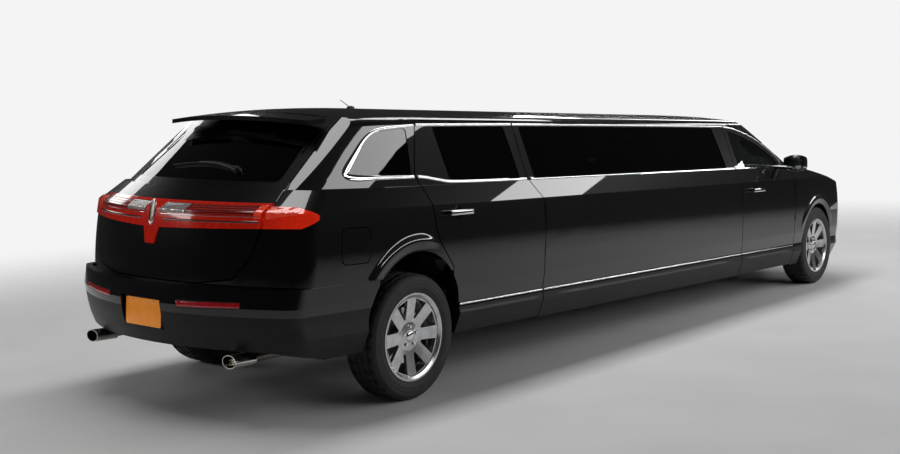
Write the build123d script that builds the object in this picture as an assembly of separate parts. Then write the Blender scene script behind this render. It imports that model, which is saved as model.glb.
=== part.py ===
from build123d import *
import math
import os
from functools import cache

# Stretched estate limousine, in millimetres. Body pieces are drawn level, with x forward from the
# rear axle and z up from the road there, then set down nose low by RAKE. Wheels, knuckles and their
# carriers are drawn upright. The finished car has its origin under the middle of its box.

# Main sizes
WHEELBASE = 6043.0
REAR_OVERHANG = 1268.0
FRONT_OVERHANG = 1010.0
HALF_WIDTH = 966.0
ROOF_TOP = 1712.0
SILL_BOTTOM = 330.0
BELT = 1250.0
RAKE = 1.0
NOSE_DOWN = math.radians(RAKE)
BUMPER_MIDDLE = 630.0

# Walls and gaps
DOOR_THICKNESS = 95.0
PILLAR_THICKNESS = 42.0
SKIN = 26.0
BUMPER_WALL = 34.0
SHUT_GAP = 8.0
GLASS = 6.0
GLASS_SET_IN = 4.0
DOOR_EDGE_DRAFT = 13.0

# Wheels
TYRE_RADIUS = 370.0
TYRE_WIDTH = 235.0
WHEEL_Y = 827.0
RIM_RADIUS = 258.0
RIM_WIDTH = 216.0
RIM_BARREL = 222.0
SPOKES = 8
ARCH_RADIUS = 405.0
ARCH_HEIGHT = 470.0
LINER_GAP = 18.0
KINGPIN_Y = 800.0

# Side curves of the plan, shared by every level of the body
SIDE_STRAIGHT_REAR = -100.0
SIDE_STRAIGHT_FRONT = WHEELBASE - 320.0
TAIL_RADIUS = 1560.0
NOSE_RADIUS = 1500.0
TAIL_TAPER = 34.0
NOSE_TAPER = 62.0
TAIL_CORNER = 130.0
NOSE_CORNER = 300.0
SIDE_BLEND = 9000.0

# Columns: height, half width, tail behind the rear axle, nose ahead of the front axle
SILL_LEVEL = (SILL_BOTTOM, HALF_WIDTH - 61, REAR_OVERHANG - 103, FRONT_OVERHANG - 80)
CLADDING_LEVEL = (455, HALF_WIDTH - 14, REAR_OVERHANG - 43, FRONT_OVERHANG - 10)
SCOOP_LEVEL = (530, HALF_WIDTH - 22, REAR_OVERHANG - 20, FRONT_OVERHANG - 4)
BUMPER_LEVEL = (BUMPER_MIDDLE, HALF_WIDTH - 8, REAR_OVERHANG, FRONT_OVERHANG)
SHELF_LEVEL = (735, HALF_WIDTH - 4, REAR_OVERHANG - 10, FRONT_OVERHANG - 4)
HATCH_FOOT_LEVEL = (735, HALF_WIDTH - 4, REAR_OVERHANG - 73, FRONT_OVERHANG - 4)
FLANK_LEVEL = (900, HALF_WIDTH, REAR_OVERHANG - 78, FRONT_OVERHANG - 18)
CREASE_LEVEL = (1135, HALF_WIDTH - 9, REAR_OVERHANG - 108, FRONT_OVERHANG - 80)
BELT_LEVEL = (BELT, HALF_WIDTH - 78, REAR_OVERHANG - 283, FRONT_OVERHANG - 310)
BANDS = (
    (SILL_LEVEL, CLADDING_LEVEL),
    (CLADDING_LEVEL, SCOOP_LEVEL),
    (SCOOP_LEVEL, BUMPER_LEVEL),
    (BUMPER_LEVEL, SHELF_LEVEL),
    (HATCH_FOOT_LEVEL, FLANK_LEVEL, CREASE_LEVEL),
    (CREASE_LEVEL, BELT_LEVEL),
)

# Greenhouse
GREENHOUSE_HALF = HALF_WIDTH - 81
TUMBLEHOME = 20.2
PLAN_TAPER_REAR = 3200.0
PLAN_TAPER_FRONT = 11000.0
TAPER_START_REAR = 200.0
TAPER_START_FRONT = 4400.0
CROWN_RADIUS = 5200.0
ROOF_FALL_REAR = 5900.0
ROOF_FALL_FRONT = 15000.0
CABIN_SINK = 2.0
CABIN_TAIL_STATIONS = (-1150.0, -700.0, -250.0, TAPER_START_REAR, TAPER_START_REAR + 300)
CABIN_SCREEN_STATIONS = (TAPER_START_FRONT - 300, TAPER_START_FRONT, 4950.0, 5500.0, 6050.0)
CABIN_STRETCH = CABIN_SCREEN_STATIONS[0] - CABIN_TAIL_STATIONS[-1]
RAIL_ROUND = 85.0
HATCH_FOOT_X = -965.0
HATCH_SLOPE = 1.29
HATCH_RADIUS = 1560.0
SCREEN_FOOT_X = 5760.0
SCREEN_SLOPE = 2.27
SCREEN_RADIUS = 2000.0

# Columns: x, crown height and edge height of the bonnet
BONNET_SECTIONS = (
    (5420, 1292, 1262),
    (6000, 1228, 1180),
    (6560, 1128, 1070),
    (7120, 950, 890),
)


# Door outlines on the right side: x, z and how far out the skin stands there
REAR_DOOR_FRONT = ((1305, 338), (1305, 1095), (1205, 1265), (1195, 1636))
REAR_DOOR_REAR = ((205, 1636), (78, 1322), (128, 1148), (158, 1000), (205, 905), (330, 760), (330, 338))
FRONT_DOOR_FRONT = ((5442, 338), (5442, 1262), (5330, 1362), (5130, 1452), (4860, 1542), (4560, 1606))
FRONT_DOOR_REAR = ((4352, 1622), (4352, 338))
DOOR_OUTER_Y = 1010.0
DOOR_INNER_Y = 560.0
REAR_HANDLE = (358.0, 1085.0)
FRONT_HANDLE = (4588.0, 1065.0)
HANDLE_LENGTH = 205.0
BOWL_RADIUS = 52.0
BOWL_DEPTH = 20.0

# Columns: y, length, height and corner of the mirror's sections, from its foot outwards
MIRROR_X, MIRROR_Z = 5215.0, 1290.0
MIRROR_SECTIONS = (
    (-960, 84, 96, 26),
    (-1045, 128, 148, 40),
    (-1150, 96, 116, 44),
)

# Window outlines in x and z
REAR_DOOR_GLASS = ((1128, 1266), (1096, 1604), (348, 1600), (386, 1276))
FRONT_DOOR_GLASS = (
    (4402, 1262), (5350, 1258), (5262, 1318), (5076, 1404), (4826, 1488), (4560, 1556), (4402, 1584))
LONG_GLASS = ((1290, 1264), (4180, 1262), (4122, 1604), (1268, 1606))
QUARTER_GLASS = ((44, 1313), (104, 1592), (-120, 1574), (-250, 1512), (-428, 1328))
WINDOW_CORNER = 22.0
HATCH_GLASS = ((612, 1288), (548, 1560))
SCREEN_GLASS = ((4800, 610), (5690, 735), (5790, 0))

# Walls between the rooms, and the seams between the panels
FIREWALL_X = 5600.0
FIREWALL = 34.0
SILL_FACE_Y = 858.0
FLOOR_Z = 400.0
DECK_Z = 640.0
COWL_HALF = 700.0
BUMPER_SEAM = 735.0
VALANCE_SEAM = 585.0
ROOF_SEAM = 1640.0
NOSE_SEAM = 6480.0
BUMPER_EDGE = ((NOSE_SEAM, 760.0), (6930.0, 800.0))
OPEN_BELOW = 480.0

# Bounds beyond the car, for cutting blocks
FAR = 1400.0
TAIL = -1400.0
NOSE = 7200.0
SKY = 1800.0

# Liftgate outline, left half, in y and z
GATE_HALF = (
    (350, 748), (565, 778), (655, 885), (700, 1050), (708, 1190), (668, 1285), (620, 1580), (620, 1800))
GATE_HINGE_X = -300.0
GATE_FLANGE = 20.0
GATE_STEP = 24.0
SPOILER_TAIL_X = -620.0
SPOILER_HALF = 600.0
SPOILER_THICK = 26.0

# Lamp band across the tail, right half, in y and z, with the tongue under its middle
LAMP_PROUD = 9.0
LAMP_POCKET = SKIN
BAR_HALF = ((38, 940), (62, 1032), (708, 1050), (708, 1182), (38, 1182))
LAMP_SIDE = ((-1300, 1040), (-900, 1054), (-806, 1098), (-800, 1122), (-880, 1166), (-1300, 1182))

# Right head lamp in y and z
HEAD_LAMP = ((-900, 905), (-470, 850), (-470, 770), (-930, 800))

# Bonnet outline in x and y, right half
BONNET_REAR_X = 5850.0
BONNET_FRONT_X = 6985.0
BONNET_REAR_CORNER = (5722.0, 700.0)
BONNET_FRONT_CORNER = (6852.0, 625.0)
BONNET_LEAN = 20.0
BONNET_LIP_Z = 940.0
BONNET_HINGE_Y = 675.0

# Split grille, one half in y and z from its inner foot round to its inner top, and the grille below it
GRILLE_HALF = ((50, 700), (425, 735), (440, 890), (50, 920))
LOWER_GRILLE_HALF = ((520, 420), (520, 560))
GRILLE_SET_IN = 10.0
GRILLE_RIM = 16.0
GRILLE_BARS = 11
BAR_PITCH = 32.0
BAR_SLOT = 22.0
SLAT_SLOT = 26.0
SLAT_FEET = (440.0, 478.0, 516.0)
BAY_FRONT = 6700.0

# Recess for the blank plate, in the middle of the tail
PLATE_FACE_X = -1215.0
PLATE_HALF = 172.0
PLATE_ROOM_Z = (478.0, 650.0)

# Fuel flap on the right rear quarter
FLAP_X = (-631.0, -414.0)
FLAP_Z = (843.0, 1039.0)
FLAP_THICK = 10.0
FLAP_GAP = 5.0
FLAP_CORNER = 40.0
FLAP_POCKET = 78.0
FILLER_RADIUS = 28.0

# Hinges: barrels that lie in the shut gap, just under the skin
BARREL = 3.6
BARREL_SINK = 2.0
BARREL_THIRD = 18.0
BARREL_PLAY = 0.3
FLAP_BARREL = 2.1
FLAP_SINK = 1.5
SIDEWAYS = ((-1, 0, 0), (0, 0, 1))
REARWARDS = ((-1, 0, 0), (0, 1, 0))
FORWARDS = ((1, 0, 0), (0, -1, 0))
HINGE_Y = BARREL_SINK - HALF_WIDTH
DOOR_HINGE_Z = (780.0, 1060.0)
GATE_HINGE_Y = (-60.0, 60.0)

# Running gear, drawn upright: y is outboard of the wheel's middle plane, x and z from its centre
SPINDLE_RADIUS = 32.0
BEARING_GAP = 0.3
DISC_RADIUS = 165.0
HUB_RADIUS = 78.0
WINDOW_INNER, WINDOW_OUTER = 108.0, 220.0
SPOKE_WIDTH = 76.0
BALL_JOINT_DROP = 150.0
STUD_RADIUS = 9.0
DAMPER_Y = 600.0

RIM_PROFILE = (
    (-108, 258), (-98, 243), (-50, 224), (50, 224), (98, 243), (108, 258), (108, 247), (99, 233),
    (50, 215), (-50, 215), (-99, 233), (-108, 247))
FACE_PROFILE = (
    (76, 0), (76, 40), (69, 84), (92, 229), (72, 236), (50, 92), (40, HUB_RADIUS), (40, SPINDLE_RADIUS),
    (62, SPINDLE_RADIUS), (62, 0))
TYRE_PROFILE = (
    (-97.6, 243.6), (-117.5, 302), (-109, 345), (-90, TYRE_RADIUS), (90, TYRE_RADIUS), (109, 345),
    (117.5, 302), (97.6, 243.6))
DISC_PROFILE = (
    (2, 74), (2, DISC_RADIUS), (20, DISC_RADIUS), (20, 84), (40, 84), (40, SPINDLE_RADIUS + 2),
    (30, SPINDLE_RADIUS + 2), (30, 74))

# Floor, underframe and what hangs below
SILL_INNER_Y = 690.0
SILL_OUTER_Y = 850.0
FLOOR = 25.0
LINER = 12.0
LINER_FLOOR = 430.0
RAIL_INNER_Y, RAIL_OUTER_Y = 425.0, 485.0
REAR_LINER_Y = 555.0
FRONT_LINER_Y = 460.0
TUNNEL_X = (480.0, 5560.0)
CROSS_MEMBERS = (700.0, 1700.0, 2900.0, 4100.0, 5300.0)
PAD_X = (760.0, 5200.0)
TIP_Y = 603.0
TIP_Z = 344.0

# Cabin furniture
FLOOR_TOP = FLOOR_Z + FLOOR
SOFT_PLAY = 0.3
BAR_RECESSES = ((1620.0, 2500.0), (2600.0, 3500.0))
GLASS_WELLS = (3600.0, 3720.0, 3840.0, 3960.0, 4080.0)
GRIP_RADIUS = 182.0
GRIP_THICK = 28.0
GRIP_SIDES = 10
WHEEL_HUB_Y = 400.0
COLUMN_LEAN = 24.0
COLUMN_RADIUS = 18.0
COLUMN_TIP = (4890.0, WHEEL_HUB_Y, 872 + 340 * math.tan(math.radians(COLUMN_LEAN)))


def outline_at(z, half, tail, nose, inset):
    """Plan outline of the lower body at one height, inset on every side."""
    half = half - inset
    tail_x = inset - tail
    nose_x = WHEELBASE + nose - inset
    tail_r = TAIL_RADIUS - inset
    nose_r = NOSE_RADIUS - inset
    tail_half = half - TAIL_TAPER
    nose_half = half - NOSE_TAPER
    x_t = tail_x + tail_r - math.sqrt(tail_r**2 - tail_half**2)
    x_n = nose_x - nose_r + math.sqrt(nose_r**2 - nose_half**2)
    left = [(x_t, tail_half), (SIDE_STRAIGHT_REAR, half), (SIDE_STRAIGHT_FRONT, half), (x_n, nose_half)]
    left = [(x, y, z) for x, y in left]
    right = [(x, -y, height) for x, y, height in reversed(left)]
    edges = [Line(a, b) for side in (left, right) for a, b in zip(side, side[1:])]
    edges.append(ThreePointArc(left[-1], (nose_x, 0, z), right[0]))
    edges.append(ThreePointArc(right[-1], (tail_x, 0, z), left[0]))
    face = make_face(edges).face()

    def corners(x):
        return [v for v in face.vertices() if abs(v.X - x) < 1]

    face = face.fillet_2d(TAIL_CORNER, corners(x_t))
    face = face.fillet_2d(NOSE_CORNER, corners(x_n))
    return face.fillet_2d(SIDE_BLEND, corners(SIDE_STRAIGHT_REAR) + corners(SIDE_STRAIGHT_FRONT))


def fuse_all(shapes):
    total = shapes[0]
    for shape in shapes[1:]:
        total = total.fuse(shape)
    return total


def bonnet_top(inset):
    """Everything above the bonnet's crowned surface, ahead of the windscreen."""
    sections = []
    reach = HALF_WIDTH + 60
    for x, crown, edge in BONNET_SECTIONS:
        arc = ThreePointArc((x, -reach, edge - inset), (x, 0, crown - inset), (x, reach, edge - inset))
        lid = Polyline(
            (x, reach, edge - inset), (x, reach, SKY), (x, -reach, SKY), (x, -reach, edge - inset))
        sections.append(make_face(arc.edges() + lid.edges()).face())
    return loft(sections)


@cache
def lower_body(inset):
    """Solid of the body up to the belt, with the bonnet's fall, inset by a wall's thickness."""
    bands = [loft([outline_at(*level, inset) for level in band]) for band in BANDS]
    return fuse_all(bands) - bonnet_top(inset)


def narrowing(x):
    """How far the greenhouse's sides draw in towards its tail and its screen."""
    if x < TAPER_START_REAR:
        return PLAN_TAPER_REAR - math.sqrt(PLAN_TAPER_REAR**2 - (x - TAPER_START_REAR) ** 2)
    if x > TAPER_START_FRONT:
        return PLAN_TAPER_FRONT - math.sqrt(PLAN_TAPER_FRONT**2 - (x - TAPER_START_FRONT) ** 2)
    return 0.0


def roof_fall(x):
    """How far the roof's crown drops below its level run."""
    if x < TAPER_START_REAR:
        return ROOF_FALL_REAR - math.sqrt(ROOF_FALL_REAR**2 - (x - TAPER_START_REAR) ** 2)
    if x > TAPER_START_FRONT:
        return ROOF_FALL_FRONT - math.sqrt(ROOF_FALL_FRONT**2 - (x - TAPER_START_FRONT) ** 2)
    return 0.0


def cabin_section(x, inset):
    """Cross-section of the greenhouse: leaning sides, rounded rails and a crowned roof."""
    lean = math.tan(math.radians(TUMBLEHOME))
    half = GREENHOUSE_HALF - narrowing(x) - inset / math.cos(math.radians(TUMBLEHOME))
    radius = CROWN_RADIUS - inset
    centre_z = ROOF_TOP - roof_fall(x) - CROWN_RADIUS
    foot = BELT - CABIN_SINK
    reach = half + lean * (foot - centre_z)
    root = math.sqrt((reach * lean) ** 2 - (1 + lean**2) * (reach**2 - radius**2))
    rise = (reach * lean + root) / (1 + lean**2)
    rail_z = centre_z + rise
    rail_y = reach - lean * rise
    crown = ThreePointArc((x, -rail_y, rail_z), (x, 0, centre_z + radius), (x, rail_y, rail_z))
    frame = Polyline((x, rail_y, rail_z), (x, half, foot), (x, -half, foot), (x, -rail_y, rail_z))
    face = make_face(crown.edges() + frame.edges()).face()
    rails = [v for v in face.vertices() if v.Z > BELT + 100]
    return face.fillet_2d(RAIL_ROUND - inset, rails)


@cache
def greenhouse(inset):
    """Solid of the glazed upper body, inset by a wall's thickness."""
    tail = loft([cabin_section(x, inset) for x in CABIN_TAIL_STATIONS])
    stretch = extrude(cabin_section(CABIN_TAIL_STATIONS[-1], inset), CABIN_STRETCH, dir=(1, 0, 0)).solid()
    screen = loft([cabin_section(x, inset) for x in CABIN_SCREEN_STATIONS])
    return fuse_all([tail, stretch, screen]) - hatch_cutter(inset) - screen_cutter(inset)


def slanted_cutter(foot_x, slope, radius, direction, inset):
    """Space beyond a raked, plan-curved face, with its centre line through foot_x at the belt."""
    shift = inset * math.sqrt(1 + slope**2)
    centre_x = foot_x - direction * shift
    low = -160.0
    start_x = centre_x - direction * low * slope
    reach = 1050.0
    radius = radius - inset
    edge_x = start_x - direction * (radius - math.sqrt(radius**2 - reach**2))
    z = BELT + low
    far_x = start_x + direction * 900
    arc = ThreePointArc((edge_x, -reach, z), (start_x, 0, z), (edge_x, reach, z))
    frame = Polyline((edge_x, reach, z), (far_x, reach, z), (far_x, -reach, z), (edge_x, -reach, z))
    rise = 760.0
    lean = Vector(-direction * slope, 0, 1)
    face = make_face(arc.edges() + frame.edges())
    return extrude(face, amount=rise * lean.length, dir=lean.normalized()).solid()


def hatch_cutter(inset):
    return slanted_cutter(HATCH_FOOT_X, HATCH_SLOPE, HATCH_RADIUS, -1, inset)


def screen_cutter(inset):
    return slanted_cutter(SCREEN_FOOT_X, SCREEN_SLOPE, SCREEN_RADIUS, 1, inset)


def side_face(points, y):
    """Flat outline given by x and z, standing at one y."""
    return make_face(Polyline(*[(x, y, z) for x, z in points], close=True)).face()


def side_block(points, y_from, y_to, corner=0.0):
    """Outline given by x and z, drawn through the car from one y to another."""
    face = side_face(points, y_from)
    if corner:
        face = face.fillet_2d(corner, face.vertices())
    return extrude(face, amount=abs(y_to - y_from), dir=(0, math.copysign(1, y_to - y_from), 0)).solid()


def rear_block(points, x_from, x_to, corner=0.0):
    """Outline given by y and z, drawn lengthwise from one x to another."""
    face = make_face(Polyline(*[(x_from, y, z) for y, z in points], close=True)).face()
    if corner:
        face = face.fillet_2d(corner, face.vertices())
    return extrude(face, amount=abs(x_to - x_from), dir=(math.copysign(1, x_to - x_from), 0, 0)).solid()


def plan_block(points, z_from, z_to, corner=0.0):
    """Outline given by x and y, drawn upwards from one height to another."""
    face = make_face(Polyline(*[(x, y, z_from) for x, y in points], close=True)).face()
    if corner:
        face = face.fillet_2d(corner, face.vertices())
    return extrude(face, amount=z_to - z_from, dir=(0, 0, 1)).solid()


def symmetric(half_outline):
    """Closed outline about y = 0 from the points of its left half, given as y and z or x and y."""
    return [(a, b) for a, b in half_outline] + [(-a, b) for a, b in reversed(half_outline)]


def box(x0, x1, y0, y1, z0, z1):
    return Pos((x0 + x1) / 2, (y0 + y1) / 2, (z0 + z1) / 2) * Box(x1 - x0, y1 - y0, z1 - z0)


def rod(start, end, radius):
    """Round bar between two points."""
    axis = Vector(*end) - Vector(*start)
    plane = Plane(origin=start, z_dir=axis.normalized())
    return extrude(plane * Circle(radius), amount=axis.length).solid()


def mirrored(shape):
    return mirror(shape, about=Plane.XZ)


def both_sides(shape):
    return [shape, mirrored(shape)]


def solids_of(shape):
    if isinstance(shape, (list, tuple)):
        return [solid for item in shape for solid in solids_of(item)]
    return list(shape.solids())


def skin_y(z):
    """How far out the body's side stands at one height."""
    lean = math.tan(math.radians(TUMBLEHOME))
    return HALF_WIDTH if z < BELT - 100 else GREENHOUSE_HALF - (z - BELT) * lean


def door_block(front, rear, gap):
    """Room of a right door and its shut gap; its rear edge widens outwards so that it can swing."""
    draft = math.tan(math.radians(DOOR_EDGE_DRAFT))

    def loop(y):
        points = list(front) + [(x - (y - skin_y(z)) * draft, z) for x, z in rear]
        face = side_face(points, -y)
        wire = face.outer_wire().offset_2d(gap, kind=Kind.INTERSECTION) if gap else face.outer_wire()
        return Face(wire)

    return loft([loop(DOOR_OUTER_Y), loop(DOOR_INNER_Y)], ruled=True)


OUTER = lower_body(0).fuse(greenhouse(0))
REAR_DOOR_ROOM = door_block(REAR_DOOR_FRONT, REAR_DOOR_REAR, 0)
REAR_DOOR_HOLE = door_block(REAR_DOOR_FRONT, REAR_DOOR_REAR, SHUT_GAP)
FRONT_DOOR_ROOM = door_block(FRONT_DOOR_FRONT, FRONT_DOOR_REAR, 0)
FRONT_DOOR_HOLE = door_block(FRONT_DOOR_FRONT, FRONT_DOOR_REAR, SHUT_GAP)


def arch_cutter(x):
    """Wheel arch through one side, round above and open below."""
    top = Pos(x, -FAR / 2 - 600, ARCH_HEIGHT) * Rot(90, 0, 0) * Cylinder(ARCH_RADIUS, FAR)
    return top + box(x - ARCH_RADIUS, x + ARCH_RADIUS, -FAR, -600, 0, ARCH_HEIGHT)


@cache
def cabin_room():
    """Space inside the doors and pillars."""
    return lower_body(DOOR_THICKNESS).fuse(greenhouse(PILLAR_THICKNESS))


def side_wall():
    """Wall of the sides and roof, from tail to firewall, open below between the sills."""
    return OUTER - (cabin_room() + box(TAIL, NOSE, -SILL_FACE_Y, SILL_FACE_Y, 0, OPEN_BELOW))


def front_wall():
    """Thin skin of the front end."""
    bay = lower_body(SKIN) + box(FIREWALL_X, NOSE, -SILL_FACE_Y, SILL_FACE_Y, 0, OPEN_BELOW)
    return lower_body(0) - bay


WALL = side_wall()
FRONT_SKIN = front_wall()
REAR_ARCH = arch_cutter(0)
FRONT_ARCH = arch_cutter(WHEELBASE)
ARCHES = [REAR_ARCH, FRONT_ARCH, mirrored(REAR_ARCH), mirrored(FRONT_ARCH)]


def window_hole(points):
    return side_block(points, -FAR, -300, WINDOW_CORNER)


GLASS_LAYER = greenhouse(GLASS_SET_IN) - greenhouse(GLASS_SET_IN + GLASS)


def gate_room(gap):
    face = make_face(Polyline(*[(-FAR, y, z) for y, z in symmetric(GATE_HALF)], close=True)).face()
    wire = face.outer_wire().offset_2d(gap, kind=Kind.INTERSECTION) if gap else face.outer_wire()
    return extrude(Face(wire), amount=FAR + GATE_HINGE_X + gap, dir=(1, 0, 0)).solid()


GATE_ROOM = gate_room(0)
GATE_HOLE = gate_room(SHUT_GAP)

LAMP_LAYER = lower_body(-LAMP_PROUD) - lower_body(LAMP_POCKET)


def arc_x(apex_x, corner, grow, y):
    """Where an arc through a middle point and two corners lies at one y, grown outwards by a gap."""
    rise = apex_x - corner[0]
    radius = (corner[1] ** 2 + rise**2) / (2 * rise)
    return apex_x - radius + math.sqrt((radius + grow) ** 2 - y**2)


def bonnet_room(gap):
    """Room of the bonnet: curved at its ends, straight at its sides."""
    ry = BONNET_REAR_CORNER[1] + gap
    fy = BONNET_FRONT_CORNER[1] + gap
    rx = arc_x(BONNET_REAR_X, BONNET_REAR_CORNER, -gap, ry)
    fx = arc_x(BONNET_FRONT_X, BONNET_FRONT_CORNER, gap, fy)
    low, high, ahead = 850, 1550, 400
    straight = [
        ThreePointArc((rx, -ry, low), (BONNET_REAR_X - gap, 0, low), (rx, ry, low)),
        Line((rx, ry, low), (fx + ahead, fy, low)),
        Line((fx + ahead, fy, low), (fx + ahead, -fy, low)),
        Line((fx + ahead, -fy, low), (rx, -ry, low)),
    ]
    nose = BONNET_FRONT_X + gap
    lip = ThreePointArc((fx, -fy, low), (nose, 0, low), (fx, fy, low))
    behind = Polyline((fx, fy, low), (fx - 60, fy + ahead, low), (rx - ahead, fy + ahead, low),
                      (rx - ahead, -fy - ahead, low), (fx - 60, -fy - ahead, low), (fx, -fy, low))
    slope_rate = math.tan(math.radians(BONNET_LEAN))
    lean = Vector(slope_rate, 0, 1)
    face = Pos(-slope_rate * (BONNET_LIP_Z - low), 0, 0) * make_face(lip.edges() + behind.edges())
    slope = extrude(face, amount=(high - low) * lean.length, dir=lean.normalized()).solid()
    return (extrude(make_face(straight), amount=high - low, dir=(0, 0, 1)) & slope).solid()


BONNET_ROOM = bonnet_room(0)
BONNET_HOLE = bonnet_room(SHUT_GAP)


def flap_room(gap, deep):
    x0, x1 = FLAP_X[0] - gap, FLAP_X[1] + gap
    z0, z1 = FLAP_Z[0] - gap, FLAP_Z[1] + gap
    return side_block(((x0, z0), (x1, z0), (x1, z1), (x0, z1)), -FAR, -deep, FLAP_CORNER)


def hinge(place, towards, along, third=BARREL_THIRD, reach=SHUT_GAP, radius=BARREL, sink=BARREL_SINK):
    """Fixed and moving barrels of one hinge; the moving side lies towards one direction from its pin."""
    plane = Plane(origin=place, x_dir=towards, z_dir=along)

    def knuckle(side, low):
        barrel = Pos(0, 0, low + third / 2) * Cylinder(radius, third)
        web = Pos(side * reach / 2, (sink - radius) / 2, low + third / 2)
        return barrel + web * Box(reach, sink + radius, third)

    step = third + BARREL_PLAY
    low = -1.5 * third - BARREL_PLAY
    fixed = [plane * knuckle(-1, low), plane * knuckle(-1, low + 2 * step)]
    return Compound([part.solid() for part in fixed]), (plane * knuckle(1, low + step)).solid()


def top_z(x, y):
    """Height of the lower body's skin over one point."""
    return (lower_body(0) & box(x - 1, x + 1, y - 1, y + 1, 900, BELT)).bounding_box().max.Z


def side_y(x, z):
    """How far out the right side's skin stands at one point."""
    return (lower_body(0) & box(x - 1, x + 1, -FAR, 0, z - 1, z + 1)).bounding_box().min.Y


REAR_DOOR_HINGES = [(REAR_DOOR_FRONT[0][0] + SHUT_GAP / 2, HINGE_Y, z) for z in DOOR_HINGE_Z]
FRONT_DOOR_HINGES = [(FRONT_DOOR_FRONT[0][0] + SHUT_GAP / 2, HINGE_Y, z) for z in DOOR_HINGE_Z]
GATE_HINGE_Z = ROOF_TOP - roof_fall(GATE_HINGE_X) - BARREL_SINK
GATE_HINGES = [(GATE_HINGE_X + SHUT_GAP / 2, y, GATE_HINGE_Z) for y in GATE_HINGE_Y]
BONNET_HINGE_X = arc_x(BONNET_REAR_X, BONNET_REAR_CORNER, -SHUT_GAP / 2, BONNET_HINGE_Y)
BONNET_HINGE = (BONNET_HINGE_X, BONNET_HINGE_Y, top_z(BONNET_HINGE_X, BONNET_HINGE_Y) - BARREL_SINK)
FLAP_HINGE_X = FLAP_X[1] + FLAP_GAP / 2
FLAP_HINGE_Z = sum(FLAP_Z) / 2
FLAP_HINGE = (FLAP_HINGE_X, side_y(FLAP_HINGE_X, FLAP_HINGE_Z) + FLAP_SINK, FLAP_HINGE_Z)


def quarter_panels():
    zone = box(TAIL, 420, -FAR, 0, BUMPER_SEAM, ROOF_SEAM) + box(TAIL, GATE_HINGE_X, -FAR, 0, ROOF_SEAM, SKY)
    panel = (WALL & zone) - REAR_DOOR_HOLE - GATE_HOLE - REAR_ARCH - window_hole(QUARTER_GLASS)
    panel = keep_big(panel - quarter_lamp_room())
    right = panel - flap_room(FLAP_GAP, HALF_WIDTH - FLAP_POCKET)
    right = right + fuel_filler() + flap_leaves()[0] - filler_bore()
    return [keep_big(right), mirrored(panel)]


def quarter_lamp_room():
    return LAMP_LAYER & side_block(LAMP_SIDE, -FAR, -708 - SHUT_GAP)


def keep_big(shape):
    """The largest solid of a cut shape."""
    return max(shape.solids(), key=lambda solid: solid.volume)


def stretch_panels():
    zone = box(1190, 4480, -FAR, -500, SILL_BOTTOM, ROOF_SEAM)
    panel = (WALL & zone) - REAR_DOOR_HOLE - FRONT_DOOR_HOLE - window_hole(LONG_GLASS)
    leaves = [hinge(place, *SIDEWAYS)[0] for place in REAR_DOOR_HINGES]
    return both_sides(fuse_all([keep_big(panel)] + leaves))


@cache
def roof_panel():
    outline = (
        (GATE_HINGE_X, SKY), (GATE_HINGE_X, ROOF_SEAM), (4480, ROOF_SEAM), (5450, BELT), (6100, BELT),
        (6100, SKY))
    zone = side_block(outline, -FAR, FAR)
    panel = (WALL & zone) - FRONT_DOOR_HOLE - mirrored(FRONT_DOOR_HOLE)
    panel = panel - REAR_DOOR_HOLE - mirrored(REAR_DOOR_HOLE) - GATE_HOLE - screen_hole()
    leaves = [hinge(place, *REARWARDS)[0] for place in GATE_HINGES]
    return fuse_all([keep_big(panel)] + leaves)


def screen_hole():
    return plan_block(symmetric_screen(), 1100, 1800, WINDOW_CORNER)


def symmetric_screen():
    top, foot, nose = SCREEN_GLASS
    return [top, foot, nose, (foot[0], -foot[1]), (top[0], -top[1])]


def side_windows():
    return both_sides([GLASS_LAYER & window_hole(QUARTER_GLASS), GLASS_LAYER & window_hole(LONG_GLASS)])


@cache
def windscreen():
    return keep_big(GLASS_LAYER & screen_hole())


def rear_door():
    return keep_big((WALL & REAR_DOOR_ROOM) - REAR_ARCH - window_hole(REAR_DOOR_GLASS))


def front_door():
    return keep_big((WALL & FRONT_DOOR_ROOM) - FRONT_ARCH - window_hole(FRONT_DOOR_GLASS))


def handle(x, z):
    """Pull handle on two feet, along a right door."""
    y = -HALF_WIDTH
    bar = Pos(x, y - 30, z) * Box(HANDLE_LENGTH, 14, 26)
    bar = fillet(bar.edges().filter_by(Axis.Y), 10)
    feet = [Pos(x + side * (HANDLE_LENGTH / 2 - 20), y - 10, z) * Box(22, 42, 18) for side in (-1, 1)]
    return (bar + feet).solid()


def handle_bowl(x, z):
    """Round hollow in the door's skin behind its handle, for the fingers."""
    radius = (BOWL_RADIUS**2 + BOWL_DEPTH**2) / (2 * BOWL_DEPTH)
    return Pos(x, BOWL_DEPTH - radius - HALF_WIDTH, z) * Sphere(radius)


def mirror_housing():
    """Outside mirror at the front corner of the right door, swelling out from its foot to the glass."""
    sections = []
    for y, length, height, corner in MIRROR_SECTIONS:
        plane = Plane(origin=(MIRROR_X, y, MIRROR_Z), x_dir=(1, 0, 0), z_dir=(0, -1, 0))
        sections.append(plane * RectangleRounded(length, height, corner))
    stalk = box(5190, 5250, -990, -860, 1235, 1262)
    return (loft(sections) + stalk).solid()


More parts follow.
